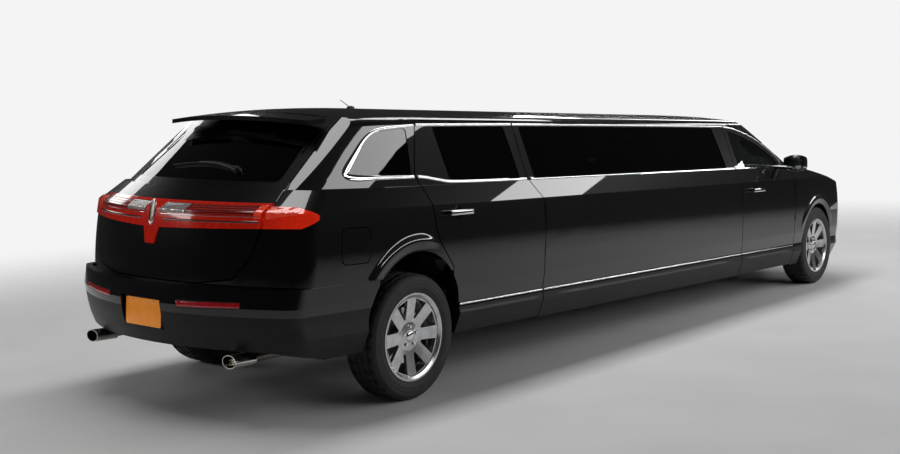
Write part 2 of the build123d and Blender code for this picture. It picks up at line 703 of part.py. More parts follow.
def fenders():
    """Front wings from the door to the nose, above the bumper."""
    outline = (
        (5450, SILL_BOTTOM), (NOSE_SEAM, SILL_BOTTOM), *BUMPER_EDGE, (BUMPER_EDGE[-1][0], 1300), (5450, 1300))
    zone = side_block(outline, -FAR, 0)
    wing = (FRONT_SKIN & zone) - BONNET_HOLE - FRONT_ARCH - FRONT_DOOR_HOLE - head_lamp_room()
    wing -= box(5400, 5640, -COWL_HALF, 0, 0, 1500)
    wing = keep_big(wing).cut(*solids_of(cowl())).cut(*solids_of(roof_panel())).cut(windscreen())
    leaves = [hinge(place, *SIDEWAYS)[0] for place in FRONT_DOOR_HINGES]
    return both_sides(fuse_all([keep_big(wing)] + leaves))


def head_lamp_room():
    room = rear_block(HEAD_LAMP, 6400, NOSE)
    return (lower_body(0) & room) - lower_body(BUMPER_WALL)


def front_bumper():
    outline = (
        (NOSE_SEAM, SILL_BOTTOM), *BUMPER_EDGE, (BUMPER_EDGE[-1][0], 1300), (NOSE, 1300), (NOSE, SILL_BOTTOM))
    zone = side_block(outline, -FAR, FAR)
    shell = (lower_body(0) & zone) - lower_body(BUMPER_WALL)
    bumper = shell - BONNET_HOLE - head_lamp_room() - mirrored(head_lamp_room())
    bumper -= FRONT_ARCH + mirrored(FRONT_ARCH)
    for sign in (-1, 1):
        bumper -= grille_room(sign)
    return keep_big(bumper - lower_grille_room())


def grille_room(sign):
    points = [(sign * y, z) for y, z in GRILLE_HALF]
    return rear_block(points, BAY_FRONT, NOSE, 18)


def lower_grille_room():
    return rear_block(symmetric(LOWER_GRILLE_HALF), BAY_FRONT, NOSE, 30)


def grille():
    """Upright bars in each half of the split grille, and level bars in the lower opening."""
    nose = box(BAY_FRONT, NOSE, -FAR, FAR, SILL_BOTTOM, 1000)
    layer = (lower_body(GRILLE_SET_IN) & nose) - lower_body(BUMPER_WALL)
    right = keep_big((layer & grille_room(-1)).cut(*bar_slots()))
    slats = [box(BAY_FRONT, NOSE, -495, 495, z, z + SLAT_SLOT) for z in SLAT_FEET]
    lower = keep_big((layer & lower_grille_room()).cut(*slats))
    return [right, mirrored(right), lower]


def bar_slots():
    """Gaps between the upright bars of the right half, shorter towards its outer end."""
    inner_y, foot = GRILLE_HALF[0]
    top = GRILLE_HALF[-1][1]
    slots = []
    for n in range(GRILLE_BARS):
        y = inner_y + GRILLE_RIM + BAR_PITCH * n
        share = n / GRILLE_BARS
        low, high = foot + GRILLE_RIM + 34 * share, top - GRILLE_RIM - 28 * share
        slots.append(box(BAY_FRONT, NOSE, -y - BAR_SLOT, -y, low, high))
    return slots


def bonnet():
    skin = (lower_body(0) & BONNET_ROOM) - lower_body(SKIN) - box(0, NOSE, -FAR, FAR, 0, 870)
    return keep_big(fuse_all([keep_big(skin) - bonnet_pin_rooms()] + bonnet_leaves(1)))


def bonnet_pin_rooms():
    x, y, z = BONNET_HINGE
    pin = rod((x, y - 17, z), (x, y + 17, z), BARREL + 1)
    return pin + mirrored(pin)


def bonnet_leaves(which):
    leaf = hinge(BONNET_HINGE, *FORWARDS, third=10.0, reach=16.0)[which]
    return both_sides(leaf)


@cache
def cowl():
    """Scuttle under the screen and firewall below it."""
    zone = side_block(((5450, 1180), (5450, BELT), (5860, BELT + 80), (5860, 1120)), -COWL_HALF, COWL_HALF)
    top = (lower_body(0) & zone) - BONNET_HOLE - greenhouse(0)
    under = box(5484, 6000, -FAR, FAR, 1000, 1204)
    wall = box(FIREWALL_X, FIREWALL_X + FIREWALL, -COWL_HALF, COWL_HALF, FLOOR_Z, 1204) & lower_body(SKIN)
    wall = wall.cut(*solids_of(wheel_liners()))
    whole = keep_big(keep_big(top - under) + keep_big(wall)) - bonnet_pin_rooms()
    return [keep_big(fuse_all([whole] + bonnet_leaves(0)))]


def rear_bumper():
    zone = box(TAIL, -330, -FAR, FAR, VALANCE_SEAM, BUMPER_SEAM)
    shell = (lower_body(0) & zone) - lower_body(BUMPER_WALL)
    shelf = lower_body(0) & box(TAIL, -900, -760, 760, BUMPER_SEAM - 16, BUMPER_SEAM)
    bumper = shell + shelf
    return keep_big(bumper - REAR_ARCH - mirrored(REAR_ARCH) - plate_room())


def plate_room():
    return box(TAIL, PLATE_FACE_X, -PLATE_HALF, PLATE_HALF, *PLATE_ROOM_Z)


def rear_valance():
    zone = box(TAIL, -330, -FAR, FAR, SILL_BOTTOM, VALANCE_SEAM)
    shell = (lower_body(0) & zone) - lower_body(BUMPER_WALL)
    skirt = shell - REAR_ARCH - mirrored(REAR_ARCH) - plate_room()
    reach, foot = PLATE_HALF + 18, PLATE_ROOM_Z[0] - 18
    back = box(PLATE_FACE_X, PLATE_FACE_X + 20, -reach, reach, foot, VALANCE_SEAM - 1)
    under = side_block(((TAIL, 300), (TAIL, 398), (-1000, 392), (-700, SILL_BOTTOM), (-700, 300)), -FAR, FAR)
    return keep_big(skirt + back - under)


def tail_lamps():
    return both_sides(keep_big(quarter_lamp_room()))


def light_bar():
    room = rear_block(symmetric(BAR_HALF), -FAR, 0)
    return keep_big(LAMP_LAYER & room & GATE_ROOM)


def liftgate():
    gate = (WALL & GATE_ROOM) - rear_block(symmetric(HATCH_GLASS), -FAR, 0, WINDOW_CORNER)
    gate -= rear_block(symmetric(BAR_HALF), -FAR, 0) & LAMP_LAYER
    tail = box(TAIL, GATE_HINGE_X, -FAR, FAR, 700, SKY)
    deep = lower_body(GATE_FLANGE).fuse(greenhouse(GATE_FLANGE)) & tail
    gate = keep_big(gate) - (deep - gate_room(-GATE_STEP))
    leaves = [hinge(place, *REARWARDS)[1] for place in GATE_HINGES]
    return keep_big(fuse_all([keep_big(gate + spoiler())] + leaves))


def spoiler():
    """Lip that carries the roof's skin out over the rear glass."""
    whole = loft([cabin_section(x, 0) for x in CABIN_TAIL_STATIONS])
    under = loft([cabin_section(x, SPOILER_THICK) for x in CABIN_TAIL_STATIONS])
    corner, front, sides, low = SPOILER_TAIL_X + 60, -430.0, SPOILER_HALF, 1500
    arc = ThreePointArc((corner, -sides, low), (SPOILER_TAIL_X, 0, low), (corner, sides, low))
    frame = Polyline((corner, sides, low), (front, sides, low), (front, -sides, low), (corner, -sides, low))
    plan = extrude(make_face(arc.edges() + frame.edges()), amount=300, dir=(0, 0, 1)).solid()
    return (whole - under) & plan


def liftgate_glass():
    return keep_big(GLASS_LAYER & rear_block(symmetric(HATCH_GLASS), -FAR, 0, WINDOW_CORNER))


def fuel_door():
    flap = keep_big((lower_body(0) & flap_room(0, 700)) - lower_body(FLAP_THICK))
    return keep_big(flap + flap_leaves()[1])


def flap_leaves():
    return hinge(FLAP_HINGE, *SIDEWAYS, radius=FLAP_BARREL, sink=FLAP_SINK)


def fuel_filler():
    """Low collar of the capless filler, at the bottom of the flap's pocket."""
    collar = Rot(90, 0, 0) * Cylinder(FILLER_RADIUS, 12)
    return Pos(sum(FLAP_X) / 2, FLAP_POCKET - HALF_WIDTH, FLAP_HINGE_Z) * collar


def filler_bore():
    bore = Rot(90, 0, 0) * Cylinder(FILLER_RADIUS - 8, 36)
    return Pos(sum(FLAP_X) / 2, FLAP_POCKET - HALF_WIDTH, FLAP_HINGE_Z) * bore


def spun(profile):
    """Solid of revolution about the wheel's axle from y and radius."""
    face = make_face(Polyline(*[(0, y, r) for y, r in profile], close=True))
    return revolve(face, axis=Axis.Y).solid()


def rim():
    """Alloy wheel with broad flat spokes, and its brake disc."""
    wheel = spun(RIM_PROFILE) + spun(FACE_PROFILE)
    pitch = math.pi / SPOKES
    points = []
    for radius, side in ((WINDOW_INNER, -1), (WINDOW_OUTER, -1), (WINDOW_OUTER, 1), (WINDOW_INNER, 1)):
        half = max(radius * math.tan(pitch) - SPOKE_WIDTH / 2 / math.cos(pitch), 7)
        points.append((side * half, radius))
    window = make_face(Polyline(*[(x, 30, z) for x, z in points], close=True)).face()
    window = window.fillet_2d(6, window.vertices())
    cutter = extrude(window, amount=100, dir=(0, 1, 0))
    for n in range(SPOKES):
        wheel = wheel - Rot(0, (n + 0.5) * 360 / SPOKES, 0) * cutter
    return [keep_big(wheel), spun(DISC_PROFILE)]


def tyre():
    return spun(TYRE_PROFILE)


def knuckle_core():
    """Upright with its spindle, brake caliper and the bosses that the arms hold."""
    spindle = Pos(0, 2, 0) * Rot(90, 0, 0) * Cylinder(SPINDLE_RADIUS - BEARING_GAP, 116)
    flange = Pos(0, -26, 0) * Rot(90, 0, 0) * Cylinder(64, 28)
    upright = Pos(0, -48, 0) * Box(84, 24, 2 * BALL_JOINT_DROP + 20)
    caliper = box(-192, -112, -44, 34, -62, 62) - box(-171, -60, -4, 26, -80, 80)
    bracket = box(-150, -30, -60, -44, -40, 40)
    return fuse_all([spindle, flange, upright, bracket, caliper])


def front_knuckle():
    """Steered upright: its two bosses turn on studs along the kingpin line."""
    core = knuckle_core()
    kingpin = KINGPIN_Y - WHEEL_Y
    for sign in (-1, 1):
        core = core + Pos(0, kingpin, sign * BALL_JOINT_DROP) * Cylinder(20, 24)
        core = core + Pos(0, kingpin - 11, sign * BALL_JOINT_DROP) * Box(36, 22, 24)
    core = core - Pos(0, kingpin, 0) * Cylinder(STUD_RADIUS + BEARING_GAP, 2 * BALL_JOINT_DROP + 60)
    core = core + Pos(0, kingpin + 10, 0) * Rot(90, 0, 0) * Cylinder(40, 40)
    return keep_big(core)


def arm(z, spread, root_y, side_z=0.0):
    """Wishbone from two pivots on the carrier to the stud under or over the knuckle."""
    tip = (0, KINGPIN_Y, z)
    legs = [rod((sign * spread, root_y, z + side_z), tip, 13) for sign in (-1, 1)]
    return fuse_all(legs + [Pos(*tip) * Cylinder(18, 20)])


def wishbones():
    """Arms, studs and spring leg of one front wheel, about the wheel's centre height."""
    low, high = -BALL_JOINT_DROP - 28, BALL_JOINT_DROP + 28
    lower = arm(low, 150, 400)
    upper = arm(high, 110, 440)
    stud_low = Pos(0, KINGPIN_Y, low + 18) * Cylinder(STUD_RADIUS, 36)
    stud_high = Pos(0, KINGPIN_Y, high - 18) * Cylinder(STUD_RADIUS, 36)
    leg = rod((0, DAMPER_Y, low), (0, DAMPER_Y - 20, 600), 34)
    lug = Pos(0, DAMPER_Y, low) * Box(130, 50, 22)
    return [fuse_all([lower, stud_low, lug, leg]), fuse_all([upper, stud_high])]


def front_subframe():
    """Cradle under the engine with the arms and spring legs of both front wheels."""
    cradle = fuse_all([
        Pos(0, 0, -178) * Box(520, 60, 50),
        Pos(-230, 0, -178) * Box(60, 860, 50),
        Pos(230, 0, -178) * Box(60, 860, 50),
        Pos(0, 415, -178) * Box(520, 40, 50),
        Pos(0, -415, -178) * Box(520, 40, 50),
    ])
    pieces = [cradle]
    for shape in wishbones():
        pieces += both_sides(shape)
    brackets = []
    for sign in (-1, 1):
        brackets += both_sides(box(sign * 110 - 18, sign * 110 + 18, 428, 452, -154, 200))
    posts = [Pos(x, y, -100) * Cylinder(26, 140) for x in (-230, 230) for y in (-415, 415)]
    mounts = [Pos(x, y, 0) * Cylinder(40, 340) for x in (-230, 230) for y in (-180, 180)]
    return fuse_all(pieces + brackets + posts + mounts)


def rear_axle():
    """Fixed carrier of the rear wheels: cross tube, uprights, trailing arms and spring legs."""
    hub = Pos(0, WHEEL_Y, 0) * knuckle_core()
    tube = rod((0, 0, 0), (0, WHEEL_Y - 50, 0), 38)
    drum = Pos(0, 0, 0) * Rot(90, 0, 0) * Cylinder(110, 240)
    trail = rod((0, 640, -60), (560, 600, -40), 22)
    eye = Pos(560, 600, -40) * Rot(90, 0, 0) * Cylinder(34, 60)
    leg = rod((-70, DAMPER_Y, -10), (-70, DAMPER_Y, 700), 32)
    lug = box(-104, 0, 570, 630, -30, 10)
    half = fuse_all([tube, hub, trail, eye, lug, leg])
    return keep_big(fuse_all([drum, half, mirrored(half)]))


def floor_pan():
    x0, x1 = TUNNEL_X
    plate = box(x0, x1, -SILL_OUTER_Y, SILL_OUTER_Y, FLOOR_Z, FLOOR_Z + FLOOR)
    plate += box(1320, 4340, -SILL_FACE_Y, SILL_FACE_Y, FLOOR_Z, FLOOR_Z + FLOOR)
    riser = box(x0 - 20, x0, -SILL_OUTER_Y, SILL_OUTER_Y, FLOOR_Z, DECK_Z + FLOOR)
    deck = box(-441, x0, -REAR_LINER_Y + LINER, REAR_LINER_Y - LINER, DECK_Z, DECK_Z + FLOOR)
    boot = box(-1120, -441, -FAR, FAR, DECK_Z, DECK_Z + FLOOR) & lower_body(DOOR_THICKNESS)
    pan = fuse_all([plate, riser, deck]) + boot
    return keep_big(pan - REAR_DOOR_HOLE - mirrored(REAR_DOOR_HOLE))


def wheel_liner(x, inner_y, body):
    """Tub over one right wheel, closed towards the middle."""
    outer = ARCH_RADIUS + LINER_GAP + LINER
    tub = Pos(x, -FAR / 2 - inner_y + LINER, ARCH_HEIGHT) * Rot(90, 0, 0) * Cylinder(outer, FAR)
    tub -= Pos(x, -FAR / 2 - inner_y, ARCH_HEIGHT) * Rot(90, 0, 0) * Cylinder(outer - LINER, FAR)
    return tub & body & box(x - 600, x + 600, -FAR, 0, LINER_FLOOR, 1200)


@cache
def wheel_liners():
    rear = wheel_liner(0, REAR_LINER_Y, lower_body(DOOR_THICKNESS)) - REAR_DOOR_HOLE
    rear -= box(460, 600, -FAR, FAR, 0, 1000)
    front = wheel_liner(WHEELBASE, FRONT_LINER_Y, lower_body(SKIN))
    front -= box(6480, 7000, -FAR, FAR, 0, 760)
    return both_sides([keep_big(rear), keep_big(front)])


def underframe():
    """Sills with their jacking pads, two long rails and the cross members between them."""
    sill = box(480, 5560, SILL_INNER_Y, SILL_OUTER_Y, 345, FLOOR_Z)
    rail = box(480, 6430, RAIL_INNER_Y, RAIL_OUTER_Y, 340, FLOOR_Z)
    pieces = both_sides([sill, rail])
    for x in CROSS_MEMBERS:
        pieces.append(box(x - 40, x + 40, -SILL_INNER_Y, SILL_INNER_Y, 350, FLOOR_Z))
    kick = (
        (480, 340), (480, FLOOR_Z), (430, FLOOR_Z), (380, DECK_Z), (-1090, DECK_Z), (-1090, 560), (320, 560),
        (380, 340))
    pieces += both_sides(side_block(kick, RAIL_INNER_Y, RAIL_OUTER_Y))
    pieces.append(box(-1090, -1040, -RAIL_OUTER_Y, RAIL_OUTER_Y, 560, DECK_Z))
    pieces += both_sides([Pos(x, 770, 339) * Cylinder(30, 12) for x in PAD_X])
    return keep_big(fuse_all(solids_of(pieces)))


def fuel_tank():
    tank = box(780, 1620, -400, 140, 230, FLOOR_Z)
    return fillet(tank.edges().filter_by(Axis.Z) + tank.faces().sort_by(Axis.Z)[0].edges(), 30)


def exhaust():
    """Front pipe, cross silencer behind the axle and two oval tips."""
    pipe = rod((5560, 250, 300), (-500, 250, 300), 28)
    silencer = box(-760, -490, -430, 430, 290, 450)
    silencer = fillet(silencer.edges().filter_by(Axis.Y), 60)
    pieces = [pipe, silencer]
    for sign in (-1, 1):
        pieces.append(rod((-620, sign * 400, 352), (-620, sign * TIP_Y, 352), 26))
        pieces.append(Pos(-620, sign * TIP_Y, 352) * Sphere(26))
        pieces.append(rod((-620, sign * TIP_Y, 352), (-1000, sign * TIP_Y, TIP_Z), 26))
        tip = extrude(Plane(origin=(-985, sign * TIP_Y, TIP_Z), z_dir=(-1, 0, 0)) * Ellipse(36, 54), 150)
        bore = extrude(Plane(origin=(-1010, sign * TIP_Y, TIP_Z), z_dir=(-1, 0, 0)) * Ellipse(32, 50), 150)
        pieces.append(tip - bore)
    hangers = [box(x - 10, x + 10, 230, 270, 320, FLOOR_Z) for x in (1200, 3500, 5000)]
    straps = [box(-640, -610, sign * 300 - 20, sign * 300 + 20, 430, DECK_Z) for sign in (-1, 1)]
    return keep_big(fuse_all(solids_of(pieces + hangers + straps)))


def engine_block():
    block = box(5760, 6320, -380, 380, 440, 940)
    return fillet(block.edges(), 40)


def front_seat():
    """One front seat: cushion, leaning back and headrest as one soft body."""
    low = FLOOR_TOP + SOFT_PLAY
    side = ((4420, low), (4900, low), (4960, 690), (4930, 740), (4560, 700), (4430, 1230), (4400, 1420),
            (4310, 1420), (4300, 1230), (4390, 640))
    return side_block(side, 150, 650)


def front_seats():
    return both_sides(front_seat())


def dashboard():
    side = ((5600, 760), (5600, 1130), (5420, 1160), (5200, 1120), (5130, 1040), (5170, 900), (5330, 800))
    dash = side_block(side, -820, 820)
    column = rod((5230, WHEEL_HUB_Y, 872), COLUMN_TIP, COLUMN_RADIUS)
    console = box(4560, 5300, -110, 110, FLOOR_TOP, 700)
    stack = box(5150, 5400, -110, 110, 600, 950)
    return keep_big(fuse_all([dash & lower_body(DOOR_THICKNESS + 6), column, console, stack]))


def steering_wheel():
    """Rim, three spokes and a hub that sits on the column's end."""
    lean = math.radians(COLUMN_LEAN)
    plane = Plane(origin=COLUMN_TIP, z_dir=(-math.cos(lean), 0, math.sin(lean)))
    section = Plane.XZ * Pos(GRIP_RADIUS, 0, 0) * RegularPolygon(GRIP_THICK / 2, GRIP_SIDES)
    ring = revolve(section, axis=Axis.Z)
    spoke = Pos(GRIP_RADIUS / 2, 0, 0) * Box(GRIP_RADIUS - 10, 34, 14)
    spokes = [Rot(0, 0, angle) * spoke for angle in (0, 180, 270)]
    hub = Cylinder(46, 44)
    wheel = fuse_all([ring, hub] + spokes)
    wheel = wheel - Pos(0, 0, -22) * Cylinder(COLUMN_RADIUS + BEARING_GAP, 40)
    return (plane * Pos(0, 0, 2) * wheel).solid()


def partition():
    """Wall behind the front seats, with its window opening."""
    room = cabin_room()
    wall = (box(4196, 4226, -FAR, FAR, FLOOR_TOP, 1700) & room) - box(4100, 4300, -560, 560, 1120, 1560)
    return keep_big(wall)


def bar_console():
    """Bar along the cabin's right side, with two open recesses and a row of wells for glasses."""
    body = box(1500, 4190, -860, -520, FLOOR_TOP, 1020) & lower_body(DOOR_THICKNESS)
    for x_from, x_to in BAR_RECESSES:
        body -= box(x_from, x_to, -700, -500, 560, 960)
    wells = [Pos(x, -620, 1000) * Cylinder(38, 80) for x in GLASS_WELLS]
    return keep_big(body - wells)


def bench_seats():
    """Rear bench across the cabin and a long one down its left side."""
    low = FLOOR_TOP + SOFT_PLAY
    across = (
        (484, low), (1020, low), (1060, 780), (1040, 850), (640, 820), (520, 1240), (400, 1240), (484, 820))
    rear = side_block(across, -530, 530)
    profile = ((400, low), (840, low), (840, 1180), (740, 1180), (690, 830), (380, 850), (370, 790))
    along = rear_block(profile, 1450, 4150)
    room = lower_body(DOOR_THICKNESS + SOFT_PLAY)
    return [keep_big(rear), keep_big(along & room)]


def level_point(x, z):
    """Where a point of the level body comes to stand, from the rear axle."""
    cos, sin = math.cos(NOSE_DOWN), math.sin(NOSE_DOWN)
    return (x * cos + z * sin, z * cos - x * sin)


NOSE_X = level_point(WHEELBASE + FRONT_OVERHANG, BUMPER_MIDDLE)[0]
TAIL_X = level_point(-REAR_OVERHANG, BUMPER_MIDDLE)[0]
REAR_X = -(NOSE_X + TAIL_X) / 2
FRONT_X = REAR_X + WHEELBASE


def parked(shape):
    """Body piece set down nose low, with the car's middle over the origin."""
    place = Pos(REAR_X, 0, 0) * Rot(0, RAKE, 0)
    return [place * solid for solid in solids_of(shape)]


def at_axle(x, shape):
    return [Pos(x, 0, TYRE_RADIUS) * solid for solid in solids_of(shape)]


def at_wheel(x, side, shape):
    """Wheel piece at one corner of the car; side is 1 for left and -1 for right."""
    turned = [solid if side > 0 else mirrored(solid) for solid in solids_of(shape)]
    return [Pos(x, side * WHEEL_Y, TYRE_RADIUS) * solid for solid in turned]


def trimmed(pieces, cutters):
    """Pieces cut back to the faces that they meet."""
    return [keep_big(piece.cut(*solids_of(cutters))) for piece in solids_of(pieces)]


def door_set():
    """Right doors with their handles and mirror."""
    rear = [rear_door() - handle_bowl(*REAR_HANDLE), handle(*REAR_HANDLE)]
    rear += [hinge(place, *SIDEWAYS)[1] for place in REAR_DOOR_HINGES]
    front = [front_door() - handle_bowl(*FRONT_HANDLE), handle(*FRONT_HANDLE), mirror_housing()]
    front += [hinge(place, *SIDEWAYS)[1] for place in FRONT_DOOR_HINGES]
    return [keep_big(fuse_all(rear))], [keep_big(fuse_all(front))]


def all_nodes():
    nodes = {}
    body = {
        "roof_panel": roof_panel(),
        "quarter_panels": quarter_panels(),
        "stretch_panels": stretch_panels(),
        "front_fenders": fenders(),
        "cowl": cowl(),
        "windscreen": windscreen(),
        "side_windows": side_windows(),
        "front_bumper": front_bumper(),
        "grille": grille(),
        "headlamps": both_sides(head_lamp_room()),
        "rear_bumper": rear_bumper(),
        "rear_valance": rear_valance(),
        "tail_lamps": tail_lamps(),
        "floor_pan": floor_pan(),
        "underframe": underframe(),
        "wheel_liners": wheel_liners(),
        "fuel_tank": fuel_tank(),
        "exhaust": exhaust(),
        "engine_block": engine_block(),
        "front_seats": front_seats(),
        "dashboard": dashboard(),
        "partition": partition(),
        "bar_console": bar_console(),
        "bench_seats": bench_seats(),
        "steering_wheel": steering_wheel(),
        "bonnet": bonnet(),
        "liftgate": liftgate(),
        "liftgate_glass": liftgate_glass(),
        "light_bar": light_bar(),
        "fuel_door": [fuel_door()],
    }
    rear_set, front_set = door_set()
    rear_pane = GLASS_LAYER & window_hole(REAR_DOOR_GLASS)
    front_pane = GLASS_LAYER & window_hole(FRONT_DOOR_GLASS)
    for side, turn in (("right", lambda shape: shape), ("left", mirrored)):
        body["rear_door_" + side] = [turn(piece) for piece in rear_set]
        body["front_door_" + side] = [turn(piece) for piece in front_set]
        body["rear_door_glass_" + side] = [turn(keep_big(rear_pane))]
        body["front_door_glass_" + side] = [turn(keep_big(front_pane))]
    for name, shape in body.items():
        nodes[name] = parked(shape)
    frames = nodes["underframe"] + nodes["engine_block"] + nodes["wheel_liners"]
    nodes["front_subframe"] = trimmed(at_axle(FRONT_X, front_subframe()), frames)
    nodes["rear_axle"] = trimmed(at_axle(REAR_X, rear_axle()), frames + nodes["exhaust"])
    knuckle, rim_pieces, rubber = front_knuckle(), rim(), tyre()
    for side_name, side in (("right", -1), ("left", 1)):
        nodes["knuckle_" + side_name] = at_wheel(FRONT_X, side, knuckle)
        for end, x in (("front", FRONT_X), ("rear", REAR_X)):
            nodes["rim_" + end + "_" + side_name] = at_wheel(x, side, rim_pieces)
            nodes["tyre_" + end + "_" + side_name] = at_wheel(x, side, rubber)
    return nodes


os.makedirs("parts", exist_ok=True)
for node, pieces in all_nodes().items():
    export_step(Compound(pieces), "parts/" + node + ".step")
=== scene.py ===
import math

import bmesh
import bpy
from mathutils import Matrix, Vector
from mathutils.bvhtree import BVHTree


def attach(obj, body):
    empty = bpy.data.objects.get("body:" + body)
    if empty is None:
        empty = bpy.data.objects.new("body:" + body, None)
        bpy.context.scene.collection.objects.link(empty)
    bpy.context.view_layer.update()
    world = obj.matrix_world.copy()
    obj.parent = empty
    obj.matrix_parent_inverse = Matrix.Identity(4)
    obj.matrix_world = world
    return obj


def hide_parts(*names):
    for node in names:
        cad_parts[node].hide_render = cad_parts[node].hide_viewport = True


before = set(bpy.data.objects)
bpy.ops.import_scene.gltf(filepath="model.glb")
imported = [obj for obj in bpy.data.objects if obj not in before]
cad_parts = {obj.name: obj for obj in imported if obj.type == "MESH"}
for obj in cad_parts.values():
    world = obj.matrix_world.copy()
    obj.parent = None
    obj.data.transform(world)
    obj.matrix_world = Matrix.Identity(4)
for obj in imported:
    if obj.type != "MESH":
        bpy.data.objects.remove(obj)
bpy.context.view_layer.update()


# Painted body: pressed steel panels, doors, bonnet and liftgate, sprayed black under a thick clear coat.
# The body sits nose-low, so places on it are given level and then turned down about the rear axle.
# Below the bright side strip the sills carry moulded polypropylene, so one finish gives way to the other.
MILLIMETRE = 0.001
REAR_AXLE_X = -2.90305
NOSE_DOWN = math.radians(1.0)
LEVEL = Matrix.Translation((REAR_AXLE_X, 0, 0)) @ Matrix.Rotation(NOSE_DOWN, 4, "Y")
CLADDING_TOP = 0.502


def colour(hex_code):
    """Linear colour of an sRGB hex value."""
    parts = [int(hex_code[i:i + 2], 16) / 255 for i in (1, 3, 5)]
    linear = [p / 12.92 if p <= 0.04045 else ((p + 0.055) / 1.055) ** 2.4 for p in parts]
    return (*linear, 1.0)


def add(tree, kind, inputs, **settings):
    """Adds one node, with its settings, its input values and its links."""
    made = tree.nodes.new(kind)
    for key, value in settings.items():
        setattr(made, key, value)
    for key, value in inputs.items():
        if isinstance(value, bpy.types.NodeSocket):
            tree.links.new(value, made.inputs[key])
        else:
            made.inputs[key].default_value = value
    return made


def material(name, surface):
    """Node material. A function of the node tree and the object coordinates gives its surface: the inputs of
    one principled shader, or a finished shader where two are mixed."""
    made = bpy.data.materials.new(name)
    made.use_nodes = True
    tree = made.node_tree
    tree.nodes.clear()
    place = add(tree, "ShaderNodeTexCoord", {}).outputs["Object"]
    shader = surface(tree, place)
    if isinstance(shader, dict):
        shader = add(tree, "ShaderNodeBsdfPrincipled", shader).outputs["BSDF"]
    add(tree, "ShaderNodeOutputMaterial", {"Surface": shader})
    return made


def per_metre(millimetres):
    """Texture scale that gives features of that real size."""
    return 1 / (millimetres * MILLIMETRE)


def bumps(tree, place, millimetres, strength, depth_mm):
    """Normal of a random relief of that grain size and depth."""
    grain = add(tree, "ShaderNodeTexNoise", {
        "Vector": place, "Scale": per_metre(millimetres), "Detail": 2.0}).outputs["Fac"]
    return add(tree, "ShaderNodeBump", {
        "Height": grain, "Strength": strength, "Distance": depth_mm * MILLIMETRE}).outputs["Normal"]


def blotches(tree, place, millimetres, dark, light, low=0.35, high=0.65):
    """Colour that drifts between two hex values over patches of that size."""
    patches = add(tree, "ShaderNodeTexNoise", {
        "Vector": place, "Scale": per_metre(millimetres), "Detail": 3.0}).outputs["Fac"]
    ramp = add(tree, "ShaderNodeValToRGB", {"Fac": patches})
    for stop, position, hex_code in zip(ramp.color_ramp.elements, (low, high), (dark, light)):
        stop.position = position
        stop.color = colour(hex_code)
    return ramp.outputs["Color"]


def level_height(tree, place):
    """Height over the road on the level body, before it was turned nose-low."""
    tilt = (math.sin(NOSE_DOWN), 0.0, math.cos(NOSE_DOWN))
    up = add(tree, "ShaderNodeVectorMath", {0: place, 1: tilt}, operation="DOT_PRODUCT").outputs["Value"]
    return add(tree, "ShaderNodeMath", {0: up, 1: -REAR_AXLE_X * tilt[0]}).outputs["Value"]


def paint_surface(tree, place):
    """Deep gloss of a clear coat over matt black. Its orange peel is drawn 25 mm across so that it shows."""
    return {
        "Base Color": blotches(tree, place, 400, "#050507", "#08080a"), "Roughness": 0.35, "IOR": 1.5,
        "Specular IOR Level": 0.05, "Coat Weight": 1.0, "Coat Roughness": 0.015, "Coat IOR": 1.55,
        "Normal": bumps(tree, place, 900, 0.02, 0.4),
        "Coat Normal": bumps(tree, place, 25, 0.008, 0.02)}


def cladding_surface(tree, place):
    """Dull black plastic with a fine moulded grain, which softens what it reflects."""
    return {
        "Base Color": blotches(tree, place, 60, "#141415", "#1a1a1b"), "Roughness": 0.42, "IOR": 1.49,
        "Specular IOR Level": 0.3, "Normal": bumps(tree, place, 2.2, 0.25, 0.05)}


def sill_surface(tree, place):
    """Paint above the cladding's edge, plastic below it."""
    above = add(tree, "ShaderNodeMath", {0: level_height(tree, place), 1: CLADDING_TOP},
                operation="GREATER_THAN").outputs["Value"]
    below, painted = [add(tree, "ShaderNodeBsdfPrincipled", inputs).outputs["BSDF"]
                      for inputs in (cladding_surface(tree, place), paint_surface(tree, place))]
    return add(tree, "ShaderNodeMixShader", {"Fac": above, 1: below, 2: painted}).outputs["Shader"]


paint = material("clear_coated_black_paint", paint_surface)
sill_paint = material("black_paint_over_moulded_cladding", sill_surface)
cladding = material("moulded_black_polypropylene", cladding_surface)


def dress(look, *nodes):
    """Gives CAD nodes their finish."""
    for name in nodes:
        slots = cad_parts[name].data.materials
        slots.clear()
        slots.append(look)


dress(paint, "roof_panel", "quarter_panels", "front_bumper", "rear_bumper", "bonnet", "liftgate", "fuel_door")
dress(sill_paint, "stretch_panels", "front_fenders")
for side in ("right", "left"):
    dress(sill_paint, "rear_door_" + side, "front_door_" + side)
dress(cladding, "rear_valance", "wheel_liners", "cowl")


# Window glass: toughened float glass panes, set in flush with the body.
# Those behind the driver are dark privacy glass, the windscreen and the front doors have a light tint.
def glass(name, tint, roughness):
    """Smooth clear glass whose long ripple bends reflections a little."""
    def surface(tree, place):
        return {
            "Base Color": tint, "Roughness": roughness, "IOR": 1.52, "Transmission Weight": 1.0,
            "Normal": bumps(tree, place, 500, 0.01, 0.3)}
    return material(name, surface)


privacy_glass = glass("dark_float_glass", colour("#23262a"), 0.01)
clear_glass = glass("light_float_glass", colour("#c2d0c6"), 0.0)
dress(privacy_glass, "side_windows", "liftgate_glass", "rear_door_glass_right", "rear_door_glass_left")
dress(clear_glass, "windscreen", "front_door_glass_right", "front_door_glass_left")


